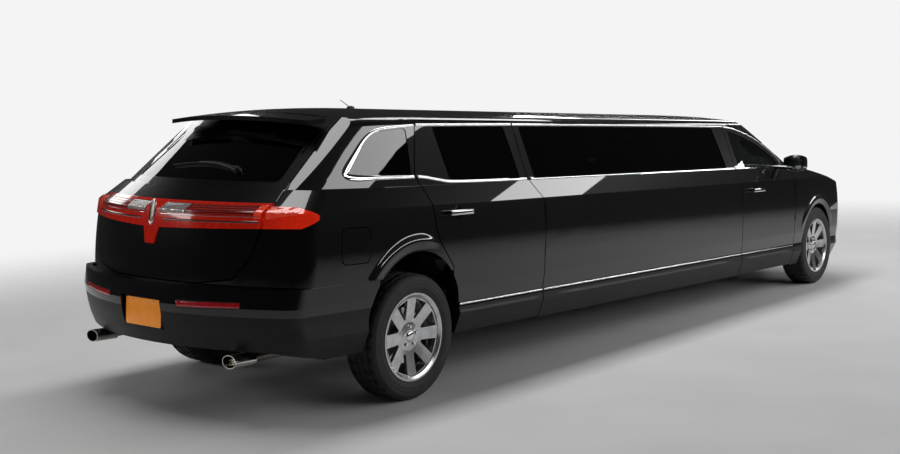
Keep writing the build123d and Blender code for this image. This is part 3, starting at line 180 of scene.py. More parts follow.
# Chromed window frame: a bright crowned moulding round the quarter pane and along the windows' heads and feet.
# It is pressed on, and each door carries its own lengths, a few millimetres short of its shut lines.
def chrome_surface(tree, place):
    """Plated chrome, near mirror bright with a faint wave in it."""
    return {
        "Base Color": blotches(tree, place, 90, "#dcdcda", "#e9e9ea"), "Metallic": 1.0,
        "Roughness": 0.07, "Normal": bumps(tree, place, 30, 0.03, 0.05)}


chrome = material("chrome_plated_moulding", chrome_surface)


def skin(*names):
    """Search tree over the faces of CAD nodes."""
    points, faces = [], []
    for name in names:
        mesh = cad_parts[name].data
        first = len(points)
        points += [v.co for v in mesh.vertices]
        faces += [[first + i for i in p.vertices] for p in mesh.polygons]
    return BVHTree.FromPolygons(points, faces)


def smooth_path(points, share):
    """Point and direction at a share of a smooth line through a few points."""
    spans = [(Vector(b) - Vector(a)).length for a, b in zip(points, points[1:])]
    left = share * sum(spans)
    i = 0
    while i < len(spans) - 1 and left > spans[i]:
        left -= spans[i]
        i += 1
    t = left / spans[i]
    p1, p2 = Vector(points[i]), Vector(points[i + 1])
    p0 = Vector(points[i - 1]) if i else 2 * p1 - p2
    p3 = Vector(points[i + 2]) if i + 2 < len(points) else 2 * p2 - p1
    bend = 2 * p0 - 5 * p1 + 4 * p2 - p3
    twist = 3 * p1 - p0 - 3 * p2 + p3
    spot = 0.5 * (2 * p1 + (p2 - p0) * t + bend * t**2 + twist * t**3)
    slope = 0.5 * ((p2 - p0) + 2 * bend * t + 3 * twist * t**2)
    return spot, slope.normalized()


WELD_GAP = 1e-6
SHARP_ANGLE = math.radians(40)


def to_mesh(bm, name, look, smooth=True):
    """Finished mesh object with outward normals."""
    bmesh.ops.remove_doubles(bm, verts=bm.verts, dist=WELD_GAP)
    bmesh.ops.recalc_face_normals(bm, faces=bm.faces)
    mesh = bpy.data.meshes.new(name)
    bm.to_mesh(mesh)
    bm.free()
    mesh.materials.append(look)
    if smooth:
        mesh.shade_smooth()
        mesh.set_sharp_from_angle(angle=SHARP_ANGLE)
    made = bpy.data.objects.new(name, mesh)
    bpy.context.scene.collection.objects.link(made)
    return made


def on_body(bm, name, look, body, slot):
    """Finished piece that rides on a body."""
    made = to_mesh(bm, name, look)
    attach(made, body)
    return made


def move(bm, matrix):
    """Takes a whole shape to its place."""
    bmesh.ops.transform(bm, matrix=matrix, verts=bm.verts)


def mirrored(bm):
    """The same shape on the car's other side."""
    other = bm.copy()
    move(other, Matrix.Diagonal((1, -1, 1, 1)))
    bmesh.ops.reverse_faces(other, faces=other.faces)
    return other


def both_sides(bm, name, look, body, slot):
    """Right piece and its mirror image; pieces of a door ride on that side's door."""
    for side, shape in (("left", mirrored(bm)), ("right", bm)):
        carrier = body + "_" + side if body.endswith("door") else body
        on_body(shape, name + "_" + side, look, carrier, slot)


SIGHT = {"side": Vector((0, 1, 0)), "tail": Vector((1, 0, 0)), "nose": Vector((-1, 0, 0))}
STAND_OFF = {"side": -1.6, "tail": -2.4, "nose": 8.4}
PAST_EDGE = 0.8


def seen(base, view, across, up):
    """Point and normal that meet the eye on a skin, at level x and z seen from the right side, or at level y
    and z seen from behind or in front. Past the skin's edge the nearest point serves."""
    start = LEVEL @ Vector((across, STAND_OFF[view], up) if view == "side" else (STAND_OFF[view], across, up))
    point, normal, _, _ = base.ray_cast(start, SIGHT[view])
    if point is None:
        point, normal, _, _ = base.find_nearest(start + SIGHT[view] * PAST_EDGE)
    return point, normal


SUNK = 0.0015
SOFT_EDGE = 0.03
SOFT_END = 0.2


def bent_strip(path, widths, proud, base, steps, view="side", across=6, soft=False):
    """Crowned strip laid on a skin, along a path of a few points, with its widths spread along it in metres.
    It stands proud by so much in its middle. A soft one swells out of the skin and dies away at its ends."""
    bm = bmesh.new()
    bmesh.ops.create_grid(bm, x_segments=steps, y_segments=across, size=0.5)
    normals, lifts = {}, {}
    for v in bm.verts:
        share, aside = v.co.x + 0.5, v.co.y * 2
        spot, slope = smooth_path(path, share)
        width = smooth_path(list(enumerate(widths)), share)[0].y if len(widths) > 1 else widths[0]
        spot = spot + Vector((-slope.y, slope.x)) * aside * width / 2
        crown = math.sqrt(max(0.0, 1 - aside**2))
        if soft:
            ends = min(1.0, share / SOFT_END, (1 - share) / SOFT_END)
            crown = SOFT_EDGE + (1 - aside**2)**2 * ends**2 * (3 - 2 * ends)
        v.co, normals[v] = seen(base, view, spot.x, spot.y)
        lifts[v] = proud * crown
    for v, lift in lifts.items():
        v.co = v.co + normals[v] * lift
    back = bmesh.ops.extrude_face_region(bm, geom=list(bm.faces))
    for item in back["geom"]:
        if isinstance(item, bmesh.types.BMVert):
            near = min(normals, key=lambda v: (v.co - item.co).length_squared)
            item.co = item.co - normals[near] * (lifts[near] + SUNK)
    return bm


SIDE_SKINS = {
    "car_body": skin("quarter_panels", "stretch_panels", "roof_panel"),
    "rear_door": skin("rear_door_right"),
    "front_door": skin("front_door_right"),
}
FRAME_WIDTH = 0.016
FRAME_PROUD = 0.004
WINDOW_FRAME = {
    "window_frame_quarter": ("car_body", [
        (0.064, 1.303), (-0.16, 1.303), (-0.38, 1.306), (-0.452, 1.322), (-0.44, 1.352), (-0.36, 1.430),
        (-0.262, 1.519), (-0.17, 1.568), (-0.05, 1.590), (0.180, 1.607)],
        (0.017, 0.018, 0.022, 0.036, 0.040, 0.032, 0.022, 0.018, 0.016, 0.016), 90),
    "window_frame_rear_door_foot": ("rear_door", [
        (0.083, 1.303), (0.16, 1.298), (0.28, 1.280), (0.40, 1.266), (0.70, 1.261), (1.198, 1.259)],
        (FRAME_WIDTH,), 60),
    "window_frame_rear_door_head": ("rear_door", [(0.200, 1.610), (0.60, 1.614), (1.190, 1.618)],
                                    (FRAME_WIDTH,), 40),
    "window_frame_stretch_foot": ("car_body", [(1.214, 1.259), (2.7, 1.258), (4.339, 1.257)],
                                  (FRAME_WIDTH,), 90),
    "window_frame_stretch_head": ("car_body", [(1.206, 1.618), (2.7, 1.620), (4.339, 1.616)],
                                  (FRAME_WIDTH,), 90),
    "window_frame_front_door_foot": ("front_door", [(4.357, 1.257), (4.9, 1.256), (5.405, 1.256)],
                                     (FRAME_WIDTH,), 50),
    "window_frame_front_door_head": ("front_door", [
        (4.357, 1.612), (4.56, 1.594), (4.86, 1.530), (5.13, 1.440), (5.33, 1.345), (5.412, 1.272)],
        (FRAME_WIDTH,), 60),
}


for name, (body, path, widths, steps) in WINDOW_FRAME.items():
    moulding = bent_strip(path, widths, FRAME_PROUD, SIDE_SKINS[body], steps)
    both_sides(moulding, name, chrome, body, "grille_bars")


# Wheel arch flares: round each opening the painted steel of the quarter panel and of the fender swells out.
# A flare is pressed in one with its panel, so it is wide and soft and dies away at both ends.
WHEELBASE = 6.043
ARCH_MIDDLE_Z = 0.470
FLARE_RADIUS = 0.462
FLARE_WIDTHS = (0.05, 0.095, 0.100, 0.100, 0.100, 0.095, 0.05)
FLARE_PROUD = 0.013
FLARE_ARCS = {"rear": (0.0, 66, 170), "front": (WHEELBASE, 24, 160)}
ARC_SPANS = 12
ARCH_SKIN = skin("quarter_panels", "front_fenders", "front_bumper")
for name, (axle_x, first, last) in FLARE_ARCS.items():
    angles = [math.radians(first + (last - first) * n / ARC_SPANS) for n in range(ARC_SPANS + 1)]
    arc = [(axle_x + FLARE_RADIUS * math.cos(a), ARCH_MIDDLE_Z + FLARE_RADIUS * math.sin(a)) for a in angles]
    flare = bent_strip(arc, FLARE_WIDTHS, FLARE_PROUD, ARCH_SKIN, 72, across=12, soft=True)
    both_sides(flare, "arch_flare_" + name, paint, "car_body", "body_paint")


# Lower side moulding: a chromed strip along the foot of the doors, clipped on where the cladding starts.
# The cladding under it is moulded with a soft swelling crease that follows the strip.
STRIP_Z = 0.519
STRIP_SIZE = (0.013, 0.006)
CREASE_DROP = 0.052
CREASE_SIZE = (0.034, 0.007)
SILL_STRIPS = {
    "rear_door": ("rear_door", 0.345, 1.299, 30),
    "stretch": ("car_body", 1.319, 4.338, 60),
    "front_door": ("front_door", 4.358, 5.434, 30),
}
for name, (body, rear_x, front_x, steps) in SILL_STRIPS.items():
    width, proud = STRIP_SIZE
    strip = bent_strip([(rear_x, STRIP_Z), (front_x, STRIP_Z)], (width,), proud, SIDE_SKINS[body], steps)
    both_sides(strip, "sill_moulding_" + name, chrome, body, "grille_bars")
    width, proud = CREASE_SIZE
    crease_z = STRIP_Z - CREASE_DROP
    crease = bent_strip([(rear_x, crease_z), (front_x, crease_z)], (width,), proud, SIDE_SKINS[body], steps,
                        soft=True)
    both_sides(crease, "sill_crease_" + name, cladding, body, "black_trim")


# Tail lamp band: one red moulded acrylic lens across the gate, and one round each corner of the body.
# Its dark windows, ribs, clear reversing sections and bright line are laid on the lens as thin strips.
def facets(tree, place, millimetres, strength, depth_mm):
    """Normal of small cells of that size, moulded or grained into a surface."""
    cells = add(tree, "ShaderNodeTexVoronoi", {
        "Vector": place, "Scale": per_metre(millimetres)}).outputs["Distance"]
    return add(tree, "ShaderNodeBump", {
        "Height": cells, "Strength": strength, "Distance": depth_mm * MILLIMETRE}).outputs["Normal"]


ACRYLIC = {"IOR": 1.49, "Coat Weight": 1.0, "Coat Roughness": 0.02}


def red_lens_surface(tree, place):
    """Glossy red acrylic, lit from within a little more towards the corners."""
    across_car = add(tree, "ShaderNodeSeparateXYZ", {"Vector": place}).outputs["Y"]
    outward = add(tree, "ShaderNodeMath", {0: across_car}, operation="ABSOLUTE").outputs["Value"]
    glow = add(tree, "ShaderNodeMapRange", {
        "Value": outward, "From Min": 0.60, "From Max": 0.90, "To Min": 0.10, "To Max": 0.32},
        interpolation_type="SMOOTHSTEP").outputs["Result"]
    return {
        **ACRYLIC, "Base Color": blotches(tree, place, 25, "#b3120a", "#d1230f"), "Roughness": 0.12,
        "Emission Color": colour("#ff3010"), "Emission Strength": glow,
        "Normal": bumps(tree, place, 40, 0.03, 0.2)}


# At a scale of 1 the wave texture repeats every BAND_TURN metres.
BAND_TURN = math.tau / 20
BACK_RIB_MM = 27.635


def dark_lens_surface(tree, place):
    """Deep red acrylic with level ribs behind its face, which show as soft dark bands."""
    ribs = add(tree, "ShaderNodeTexWave", {
        "Vector": place, "Scale": per_metre(BACK_RIB_MM) * BAND_TURN, "Distortion": 0.0},
        wave_type="BANDS", bands_direction="Z").outputs["Fac"]
    relief = add(tree, "ShaderNodeBump", {
        "Height": ribs, "Strength": 0.5, "Distance": 2.0 * MILLIMETRE}).outputs["Normal"]
    return {
        **ACRYLIC, "Base Color": blotches(tree, place, 8, "#5a1712", "#7d231b"), "Roughness": 0.15,
        "Normal": relief}


def clear_lens_surface(tree, place):
    """Pale acrylic over a silvered bowl, broken up by small facets."""
    return {
        **ACRYLIC, "Base Color": blotches(tree, place, 10, "#b9a8a4", "#e8e2de"), "Roughness": 0.12,
        "Metallic": 0.55, "Normal": facets(tree, place, 9, 0.6, 3.0)}


def light_lens_surface(tree, place):
    """Light red acrylic with large prisms that catch the light."""
    return {
        **ACRYLIC, "Base Color": blotches(tree, place, 30, "#cf3522", "#e8573a"), "Roughness": 0.1,
        "Emission Color": colour("#ff4630"), "Emission Strength": 0.25,
        "Normal": facets(tree, place, 22, 0.5, 4.0)}


red_lens = material("red_moulded_acrylic", red_lens_surface)
dark_lens = material("deep_red_ribbed_acrylic", dark_lens_surface)
clear_lens = material("clear_ribbed_acrylic", clear_lens_surface)
light_lens = material("light_red_prismatic_acrylic", light_lens_surface)
dress(red_lens, "light_bar", "tail_lamps")
LAMP_SKIN = skin("light_bar", "tail_lamps")
RIB_COUNT = 5
RIB_FOOT_Z = 1.099
RIB_PITCH = 0.0108
RIB_SIZE = 0.0032


def from_behind(name, path, widths, proud, base, look, body, slot, steps=40, finish=both_sides, across=6):
    """Strip laid on the tail, with its mirror image unless it is finished by itself."""
    strip = bent_strip(path, widths, proud, base, steps, view="tail", across=across)
    finish(strip, name, look, body, slot)


from_behind("lamp_window", [(-0.660, 1.1215), (-0.30, 1.1205), (-0.062, 1.120)], (0.052, 0.053, 0.054),
            0.0012, LAMP_SKIN, dark_lens, "liftgate", "lamp_lens")
for n in range(RIB_COUNT):
    z = RIB_FOOT_Z + RIB_PITCH * n
    from_behind("lamp_rib_%d" % (n + 1), [(-0.655, z + 0.001), (-0.26, z)], (RIB_SIZE,), RIB_SIZE, LAMP_SKIN,
                red_lens, "liftgate", "lamp_lens", across=3)
from_behind("reversing_lens", [(-0.250, 1.1205), (-0.066, 1.120)], (0.050,), 0.004, LAMP_SKIN, clear_lens,
            "liftgate", "head_lens", steps=16)
from_behind("lamp_line", [(-0.690, 1.0885), (-0.30, 1.0860), (-0.075, 1.0850)], (0.0065,), 0.004, LAMP_SKIN,
            chrome, "liftgate", "grille_bars", across=4)
from_behind("lamp_foot_line", [(-0.690, 1.0600), (-0.30, 1.0580), (-0.095, 1.0570)], (0.012,), 0.003,
            LAMP_SKIN, dark_lens, "liftgate", "lamp_lens", across=4)
from_behind("lamp_end_block", [(-0.700, 1.112), (-0.664, 1.112)], (0.070,), 0.002, LAMP_SKIN, light_lens,
            "liftgate", "lamp_lens", steps=8)
from_behind("corner_lamp_window", [(-0.872, 1.118), (-0.80, 1.116), (-0.724, 1.112)], (0.034, 0.052, 0.074),
            0.002, LAMP_SKIN, light_lens, "car_body", "lamp_lens", steps=24)


# Oval ring: a smooth upright ring of chromed zinc with a satin centre, on the lamp band's middle.
# It leans back with the gate and is pressed half into the lens.
def satin_surface(tree, place):
    """Satin nickel, a soft warm grey without sharp reflections."""
    return {
        "Base Color": blotches(tree, place, 20, "#6f6a64", "#8d8780"), "Metallic": 1.0, "Roughness": 0.32,
        "Normal": bumps(tree, place, 2, 0.1, 0.02)}


satin = material("satin_nickel_plating", satin_surface)
OVAL_Z = 1.092
OVAL_LEAN = Matrix.Rotation(math.radians(12), 4, "Y")
RING_HALVES = (0.05, 0.024, 0.074, 1)
CENTRE_HALVES = (0.004, 0.019, 0.062, 1)
RING_WIRE = 0.11
oval_place = Matrix.Translation(seen(LAMP_SKIN, "tail", 0, OVAL_Z)[0]) @ OVAL_LEAN
bm = bmesh.new()
bmesh.ops.create_circle(
    bm, cap_ends=False, segments=12, radius=RING_WIRE,
    matrix=Matrix.Translation((0, 1 - RING_WIRE, 0)) @ Matrix.Rotation(math.radians(90), 4, "Z"))
bmesh.ops.spin(bm, geom=list(bm.edges), cent=(0, 0, 0), axis=(1, 0, 0), dvec=(0, 0, 0), angle=math.tau,
               steps=64, use_merge=True)
move(bm, oval_place @ Matrix.Diagonal(RING_HALVES))
on_body(bm, "lamp_oval_ring", chrome, "liftgate", "grille_bars")
bm = bmesh.new()
bmesh.ops.create_uvsphere(bm, u_segments=32, v_segments=16, radius=1.0)
move(bm, oval_place @ Matrix.Diagonal(CENTRE_HALVES))
on_body(bm, "lamp_oval", satin, "liftgate", "grille_bars")


# Bumper reflectors: two long strips of red acrylic in black surrounds, one each side of the plate.
# They are clipped into the painted bumper and follow its curve.
def reflector_surface(tree, place):
    """Dark red acrylic over small beads, which sparkle softly. Its faint red glow is painted light, for lamp
    light the reflector sends back; it gives none of its own.
    """
    return {
        **ACRYLIC, "Coat Roughness": 0.03, "Base Color": blotches(tree, place, 20, "#8a0a14", "#a80e1a"),
        # Painted light: the emission is a faint glow that stands for light sent back by the reflector.
        "Roughness": 0.18, "Emission Color": colour("#c01020"), "Emission Strength": 0.10,
        "Normal": facets(tree, place, 4, 0.3, 1.0)}


reflector_red = material("deep_red_reflector_acrylic", reflector_surface)
BUMPER_SKIN = skin("rear_bumper")
from_behind("bumper_reflector", [(-0.662, 0.6250), (-0.48, 0.6200), (-0.292, 0.6160)],
            (0.031, 0.033, 0.034), 0.003, BUMPER_SKIN, reflector_red, "car_body", "lamp_lens")
from_behind("reflector_surround", [(-0.668, 0.6252), (-0.48, 0.6200), (-0.286, 0.6158)],
            (0.039, 0.042, 0.043), 0.0012, BUMPER_SKIN, cladding, "car_body", "black_trim")


# Parking sensors: small round buttons near both ends of each reflector, capped in the same red acrylic with
# its painted glow.
# They are pressed into the bumper and stand a few millimetres proud.
SENSOR_PLACES = ((-0.308, 0.6215), (-0.640, 0.6260))
SENSOR_HEIGHT = 0.006


def square_on(point, normal, out=0.0):
    """Sets a shape's own Z axis along a skin's normal, a little way out."""
    return Matrix.Translation(point + normal * out) @ normal.to_track_quat("Z", "Y").to_matrix().to_4x4()


for n, (y, z) in enumerate(SENSOR_PLACES):
    bm = bmesh.new()
    bmesh.ops.create_cone(bm, cap_ends=True, segments=28, radius1=0.0125, radius2=0.0115, depth=SENSOR_HEIGHT)
    move(bm, square_on(*seen(BUMPER_SKIN, "tail", y, z), SENSOR_HEIGHT / 2))
    on_body(mirrored(bm), "parking_sensor_left_%d" % (n + 1), reflector_red, "car_body", "lamp_lens")
    on_body(bm, "parking_sensor_right_%d" % (n + 1), reflector_red, "car_body", "lamp_lens")


# Registration plate: a blank pressed aluminium sheet in orange enamel, over a black plastic holder.
# Two chromed screws near its upper edge fix it in the recess of the rear valance.
def enamel_surface(tree, place):
    """Even warm orange enamel, half glossy. Its faint glow is painted light, as if its two plate lamps shone
    on it.
    """
    return {
        "Base Color": blotches(tree, place, 60, "#ee8a1c", "#f79a2e"), "Roughness": 0.35, "IOR": 1.5,
        # Painted light: the glow stands for the plate lamps shining on the plate, which is no lamp.
        "Coat Weight": 0.3, "Coat Roughness": 0.15, "Emission Color": colour("#ff9828"),
        "Emission Strength": 0.22, "Normal": bumps(tree, place, 25, 0.05, 0.1)}


enamel = material("orange_enamelled_aluminium", enamel_surface)
PLATE_CENTRE = Vector((-1.230, 0.0, 0.560))
PLATE_SIZE = (0.002, 0.305, 0.152)
HOLDER_CENTRE = PLATE_CENTRE + Vector((0.0034, 0, 0))
HOLDER_SIZE = (0.004, 0.322, 0.166)
SCREW_PLACES = ((-0.003, -0.089, 0.062), (-0.003, 0.089, 0.062))


def slab(size, centre, corner, edge):
    """Block with its corners about X rounded and the rims of its ends softened, at a level place."""
    bm = bmesh.new()
    bmesh.ops.create_cube(bm, size=1.0)
    bmesh.ops.scale(bm, vec=size, verts=bm.verts)
    along = [e for e in bm.edges if abs((e.verts[0].co - e.verts[1].co).normalized().x) > 0.9]
    bmesh.ops.bevel(bm, geom=along, offset=corner, segments=4, profile=0.5, affect="EDGES", material=-1)
    rim = [e for e in bm.edges if abs((e.verts[0].co - e.verts[1].co).normalized().x) < 0.1]
    rim = [e for e in rim if len(e.link_faces) == 2
           and abs(e.link_faces[0].normal.dot(e.link_faces[1].normal)) < 0.3]
    bmesh.ops.bevel(bm, geom=rim, offset=edge, segments=2, profile=0.5, affect="EDGES", material=-1)
    bmesh.ops.translate(bm, vec=centre, verts=bm.verts)
    move(bm, LEVEL)
    return bm


plate = slab(PLATE_SIZE, PLATE_CENTRE, corner=0.012, edge=0.0006)
holder = slab(HOLDER_SIZE, HOLDER_CENTRE, corner=0.014, edge=0.0015)
on_body(plate, "registration_plate", enamel, "car_body", "grille_bars")
on_body(holder, "plate_holder", cladding, "car_body", "black_trim")
for n, place in enumerate(SCREW_PLACES):
    bm = bmesh.new()
    bmesh.ops.create_cone(bm, cap_ends=True, segments=20, radius1=0.006, radius2=0.004, depth=0.004)
    move(bm, LEVEL @ Matrix.Translation(PLATE_CENTRE + Vector(place))
         @ Matrix.Rotation(math.radians(-90), 4, "Y"))
    on_body(bm, "plate_screw_%d" % (n + 1), chrome, "car_body", "grille_bars")


# Rear wiper: a bowed spring arm of black painted steel on a capped spindle in the gate.
# It presses a rubber blade on the glass, and both are parked level.
def trim_black_surface(tree, place):
    """Satin black paint with a hint of grain."""
    return {
        "Base Color": blotches(tree, place, 30, "#101011", "#19191a"), "Roughness": 0.38, "IOR": 1.5,
        "Normal": bumps(tree, place, 1.5, 0.1, 0.02)}


trim_black = material("black_painted_steel", trim_black_surface)
GATE_SKIN = skin("liftgate_glass", "liftgate")
SPINDLE_PLACE = (-0.300, 1.313)
SPINDLE_OUT = 0.014
from_behind("wiper_blade", [(0.262, 1.322), (0.10, 1.338), (-0.02, 1.341), (-0.14, 1.334), (-0.235, 1.319)],
            (0.009,), 0.016, GATE_SKIN, cladding, "liftgate", "black_trim", finish=on_body, across=4)
from_behind("wiper_arm", [(0.030, 1.342), (-0.08, 1.345), (-0.19, 1.335), (-0.305, 1.312)],
            (0.010, 0.014, 0.019, 0.026), 0.021, GATE_SKIN, trim_black, "liftgate", "black_trim",
            finish=on_body)
bm = bmesh.new()
bmesh.ops.create_cone(bm, cap_ends=True, segments=28, radius1=0.021, radius2=0.015, depth=0.030)
move(bm, square_on(*seen(GATE_SKIN, "tail", *SPINDLE_PLACE), SPINDLE_OUT))
on_body(bm, "wiper_spindle_cap", trim_black, "liftgate", "black_trim")


# Spoiler skirt: a sheet in the gate's black paint, hung under the spoiler's lip and swept down and forwards to
# the head of the glass, lower towards its ends.
# Its top stands for the spoiler's moulded underside; lower down it is painted shade, a dark sheet over the
# glass where the spoiler's shadow falls.
SKIRT_HALF = 0.596
SKIRT_LIP_X = -0.606
SKIRT_LIP_BELOW = 1.40
SKIRT_FOOT_Z = 1.528
SKIRT_END_RISE = 0.030
SKIRT_SAG = Vector((-0.010, 0, -0.008))
SKIRT_WALL = (0.006, 0, 0.009)
bm = bmesh.new()
bmesh.ops.create_grid(bm, x_segments=40, y_segments=6, size=0.5)
for v in bm.verts:
    y = v.co.x * 2 * SKIRT_HALF
    down = v.co.y + 0.5
    foot_z = SKIRT_FOOT_Z + SKIRT_END_RISE * (y / SKIRT_HALF) ** 2
    lip = GATE_SKIN.ray_cast(LEVEL @ Vector((SKIRT_LIP_X, y, SKIRT_LIP_BELOW)), Vector((0, 0, 1)))[0]
    foot = seen(GATE_SKIN, "tail", y, foot_z)[0]
    v.co = lip.lerp(foot, down) + SKIRT_SAG * math.sin(math.pi * down)
grown = bmesh.ops.extrude_face_region(bm, geom=list(bm.faces))
top = [item for item in grown["geom"] if isinstance(item, bmesh.types.BMVert)]
bmesh.ops.translate(bm, vec=SKIRT_WALL, verts=top)
on_body(bm, "spoiler_skirt_painted_shade", paint, "liftgate", "body_paint")


# Door grips and mirror glass: chromed zinc bars over the door handles, each above its dished bowl.
# The silvered glass is set into the back of each door mirror.
def silvering_surface(tree, place):
    """A clean mirror with a cool tint."""
    return {
        "Base Color": blotches(tree, place, 60, "#c4c9cc", "#d2d6d8"), "Metallic": 1.0,
        "Roughness": 0.02, "Normal": bumps(tree, place, 80, 0.01, 0.05)}


silvering = material("silvered_mirror_glass", silvering_surface)
GRIP_SIZE = (0.214, 0.020, 0.032)
GRIP_CENTRES = {"rear_door": (0.358, -0.9960, 1.085), "front_door": (4.588, -0.9960, 1.065)}
MIRROR_SIZE = (0.003, 0.150, 0.108)
MIRROR_CENTRE = (5.150, -1.060, 1.290)
for body, centre in GRIP_CENTRES.items():
    grip = slab(GRIP_SIZE, centre, corner=0.009, edge=0.004)
    both_sides(grip, body + "_grip", chrome, body, "grille_bars")
mirror = slab(MIRROR_SIZE, MIRROR_CENTRE, corner=0.030, edge=0.001)
both_sides(mirror, "mirror_glass", silvering, "front_door", "black_trim")


# Roof aerial: a short whip of black painted steel, screwed into a low rubber foot and leaning back.
# The foot stands on the roof's middle line, a little ahead of the rear axle.
AERIAL_X = 0.42
ABOVE_ROOF = 2.18
AERIAL_LENGTH = 0.115
AERIAL_LEAN = math.radians(-62)
WHIP_RADII = (0.0032, 0.0018)
WHIP_FOOT = Vector((0, 0, 0.004))
FOOT_HALVES = (0.036, 0.018, 0.018, 1)
roof_point = skin("roof_panel").ray_cast(LEVEL @ Vector((AERIAL_X, 0, ABOVE_ROOF)), Vector((0, 0, -1)))[0]
bm = bmesh.new()
bmesh.ops.create_cone(bm, cap_ends=True, segments=16, radius1=WHIP_RADII[0], radius2=WHIP_RADII[1],
                      depth=AERIAL_LENGTH)
bmesh.ops.translate(bm, vec=(0, 0, AERIAL_LENGTH / 2), verts=bm.verts)
move(bm, Matrix.Translation(roof_point + WHIP_FOOT) @ Matrix.Rotation(AERIAL_LEAN, 4, "Y"))
on_body(bm, "aerial_whip", trim_black, "car_body", "black_trim")
bm = bmesh.new()
bmesh.ops.create_uvsphere(bm, u_segments=28, v_segments=14, radius=1.0)
move(bm, Matrix.Translation(roof_point) @ Matrix.Diagonal(FOOT_HALVES))
on_body(bm, "aerial_foot", cladding, "car_body", "black_trim")


# Tyres: carbon-black rubber, with four grooves round the tread, staggered blocks and ribbed side walls.
# Each is spun from its section, and its blocks are parted by pushing faces in.
def rubber_surface(tree, place):
    """Dry matt black rubber, slightly mottled."""
    return {
        "Base Color": blotches(tree, place, 70, "#1b1a19", "#282624"), "Roughness": 0.68, "IOR": 1.52,
        "Normal": bumps(tree, place, 3, 0.2, 0.08)}


rubber = material("carbon_black_tyre_rubber", rubber_surface)
FRONT_AXLE_X = REAR_AXLE_X + WHEELBASE
HALF_TRACK = 0.827
WHEEL_Z = 0.370
WHEELS = {
    "front_right": (FRONT_AXLE_X, -1), "front_left": (FRONT_AXLE_X, 1),
    "rear_right": (REAR_AXLE_X, -1), "rear_left": (REAR_AXLE_X, 1)}
TYRE_SECTION = (
    (-0.1055, 0.2566), (-0.1052, 0.2650), (-0.1100, 0.2760), (-0.1150, 0.2880), (-0.1172, 0.3000),
    (-0.1160, 0.3030), (-0.1172, 0.3060), (-0.1165, 0.3200), (-0.1140, 0.3330), (-0.1150, 0.3360),
    (-0.1120, 0.3440), (-0.1060, 0.3530), (-0.0975, 0.3622), (-0.0880, 0.3680), (-0.0760, 0.3692),
    (-0.0735, 0.3630), (-0.0650, 0.3630), (-0.0620, 0.3698), (-0.0240, 0.3700), (-0.0210, 0.3635),
    (-0.0120, 0.3635), (-0.0090, 0.3700))
TYRE_BEAD = ((0.0976, 0.2440), (-0.0976, 0.2440))
TREAD_STEPS = 96
STEPS_PER_BLOCK = 3
TREAD_RADIUS = 0.3645
TREAD_HALF = 0.1040
MIDDLE_RIB_HALF = 0.012
CUT_DEPTH = 0.0055
TYRE_WELD_GAP = 1e-5


def tyre():
    """Tyre about the origin, with its axle along Y."""
    bm = bmesh.new()
    section = TYRE_SECTION + tuple((-y, r) for y, r in reversed(TYRE_SECTION)) + TYRE_BEAD
    ring = [bm.verts.new((0, y, r)) for y, r in section]
    edges = [bm.edges.new((a, b)) for a, b in zip(ring, ring[1:] + ring[:1])]
    bmesh.ops.spin(bm, geom=edges, cent=(0, 0, 0), axis=(0, 1, 0), dvec=(0, 0, 0), angle=math.tau,
                   steps=TREAD_STEPS, use_merge=True)
    bmesh.ops.remove_doubles(bm, verts=bm.verts, dist=TYRE_WELD_GAP)
    bmesh.ops.recalc_face_normals(bm, faces=bm.faces)
    cuts = []
    for face in bm.faces:
        spot = face.calc_center_median()
        if math.hypot(spot.x, spot.z) < TREAD_RADIUS or not MIDDLE_RIB_HALF < abs(spot.y) <= TREAD_HALF:
            continue
        stagger = 1.0 if spot.y > 0 else 0.0
        step = round(math.degrees(math.atan2(spot.x, spot.z)) / 360 * TREAD_STEPS + stagger)
        if step % STEPS_PER_BLOCK == 0:
            cuts.append(face)
    for face in bmesh.ops.extrude_discrete_faces(bm, faces=cuts)["faces"]:
        spot = face.calc_center_median()
        inward = -Vector((spot.x, 0, spot.z)).normalized()
        bmesh.ops.translate(bm, vec=inward * CUT_DEPTH, verts=face.verts)
    return bm


# Alloy wheels: cast aluminium with eight flat spokes, lacquered silver.
# A plain chromed cap covers the hub, and five chromed nuts hold the wheel.
def alloy_surface(tree, place):
    """Silver lacquer over cast aluminium, bright and softly glossy."""
    return {
        "Base Color": blotches(tree, place, 50, "#b9babc", "#cfd0d2"), "Metallic": 0.9,
        "Roughness": 0.2, "Coat Weight": 0.6, "Coat Roughness": 0.05,
        "Normal": bumps(tree, place, 4, 0.05, 0.03)}


alloy = material("painted_cast_aluminium", alloy_surface)
CAP_OUT = 0.076
CAP_HALVES = (0.033, 0.010, 0.033, 1)
NUT_COUNT = 5
NUT_OUT = 0.074
NUT_CIRCLE = 0.057
for corner, (x, side) in WHEELS.items():
    body = "wheel_" + corner
    hub = Matrix.Translation((x, side * HALF_TRACK, WHEEL_Z))
    bm = tyre()
    move(bm, hub)
    made = on_body(bm, "tyre_tread_" + corner, rubber, body, "tyre_rubber")
    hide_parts("tyre_" + corner)
    dress(alloy, "rim_" + corner)
    cap = bmesh.new()
    bmesh.ops.create_uvsphere(cap, u_segments=32, v_segments=12, radius=1.0)
    move(cap, hub @ Matrix.Translation((0, side * CAP_OUT, 0)) @ Matrix.Diagonal(CAP_HALVES))
    on_body(cap, "centre_cap_" + corner, chrome, body, "grille_bars")
    nuts = bmesh.new()
    for n in range(NUT_COUNT):
        turn = Matrix.Rotation(math.tau * n / NUT_COUNT, 4, "Y")
        bmesh.ops.create_cone(
            nuts, cap_ends=True, segments=6, radius1=0.011, radius2=0.0095, depth=0.018,
            matrix=hub @ turn @ Matrix.Translation((0, side * NUT_OUT, NUT_CIRCLE))
            @ Matrix.Rotation(math.radians(-90 * side), 4, "X"))
    on_body(nuts, "wheel_nuts_" + corner, chrome, body, "grille_bars")


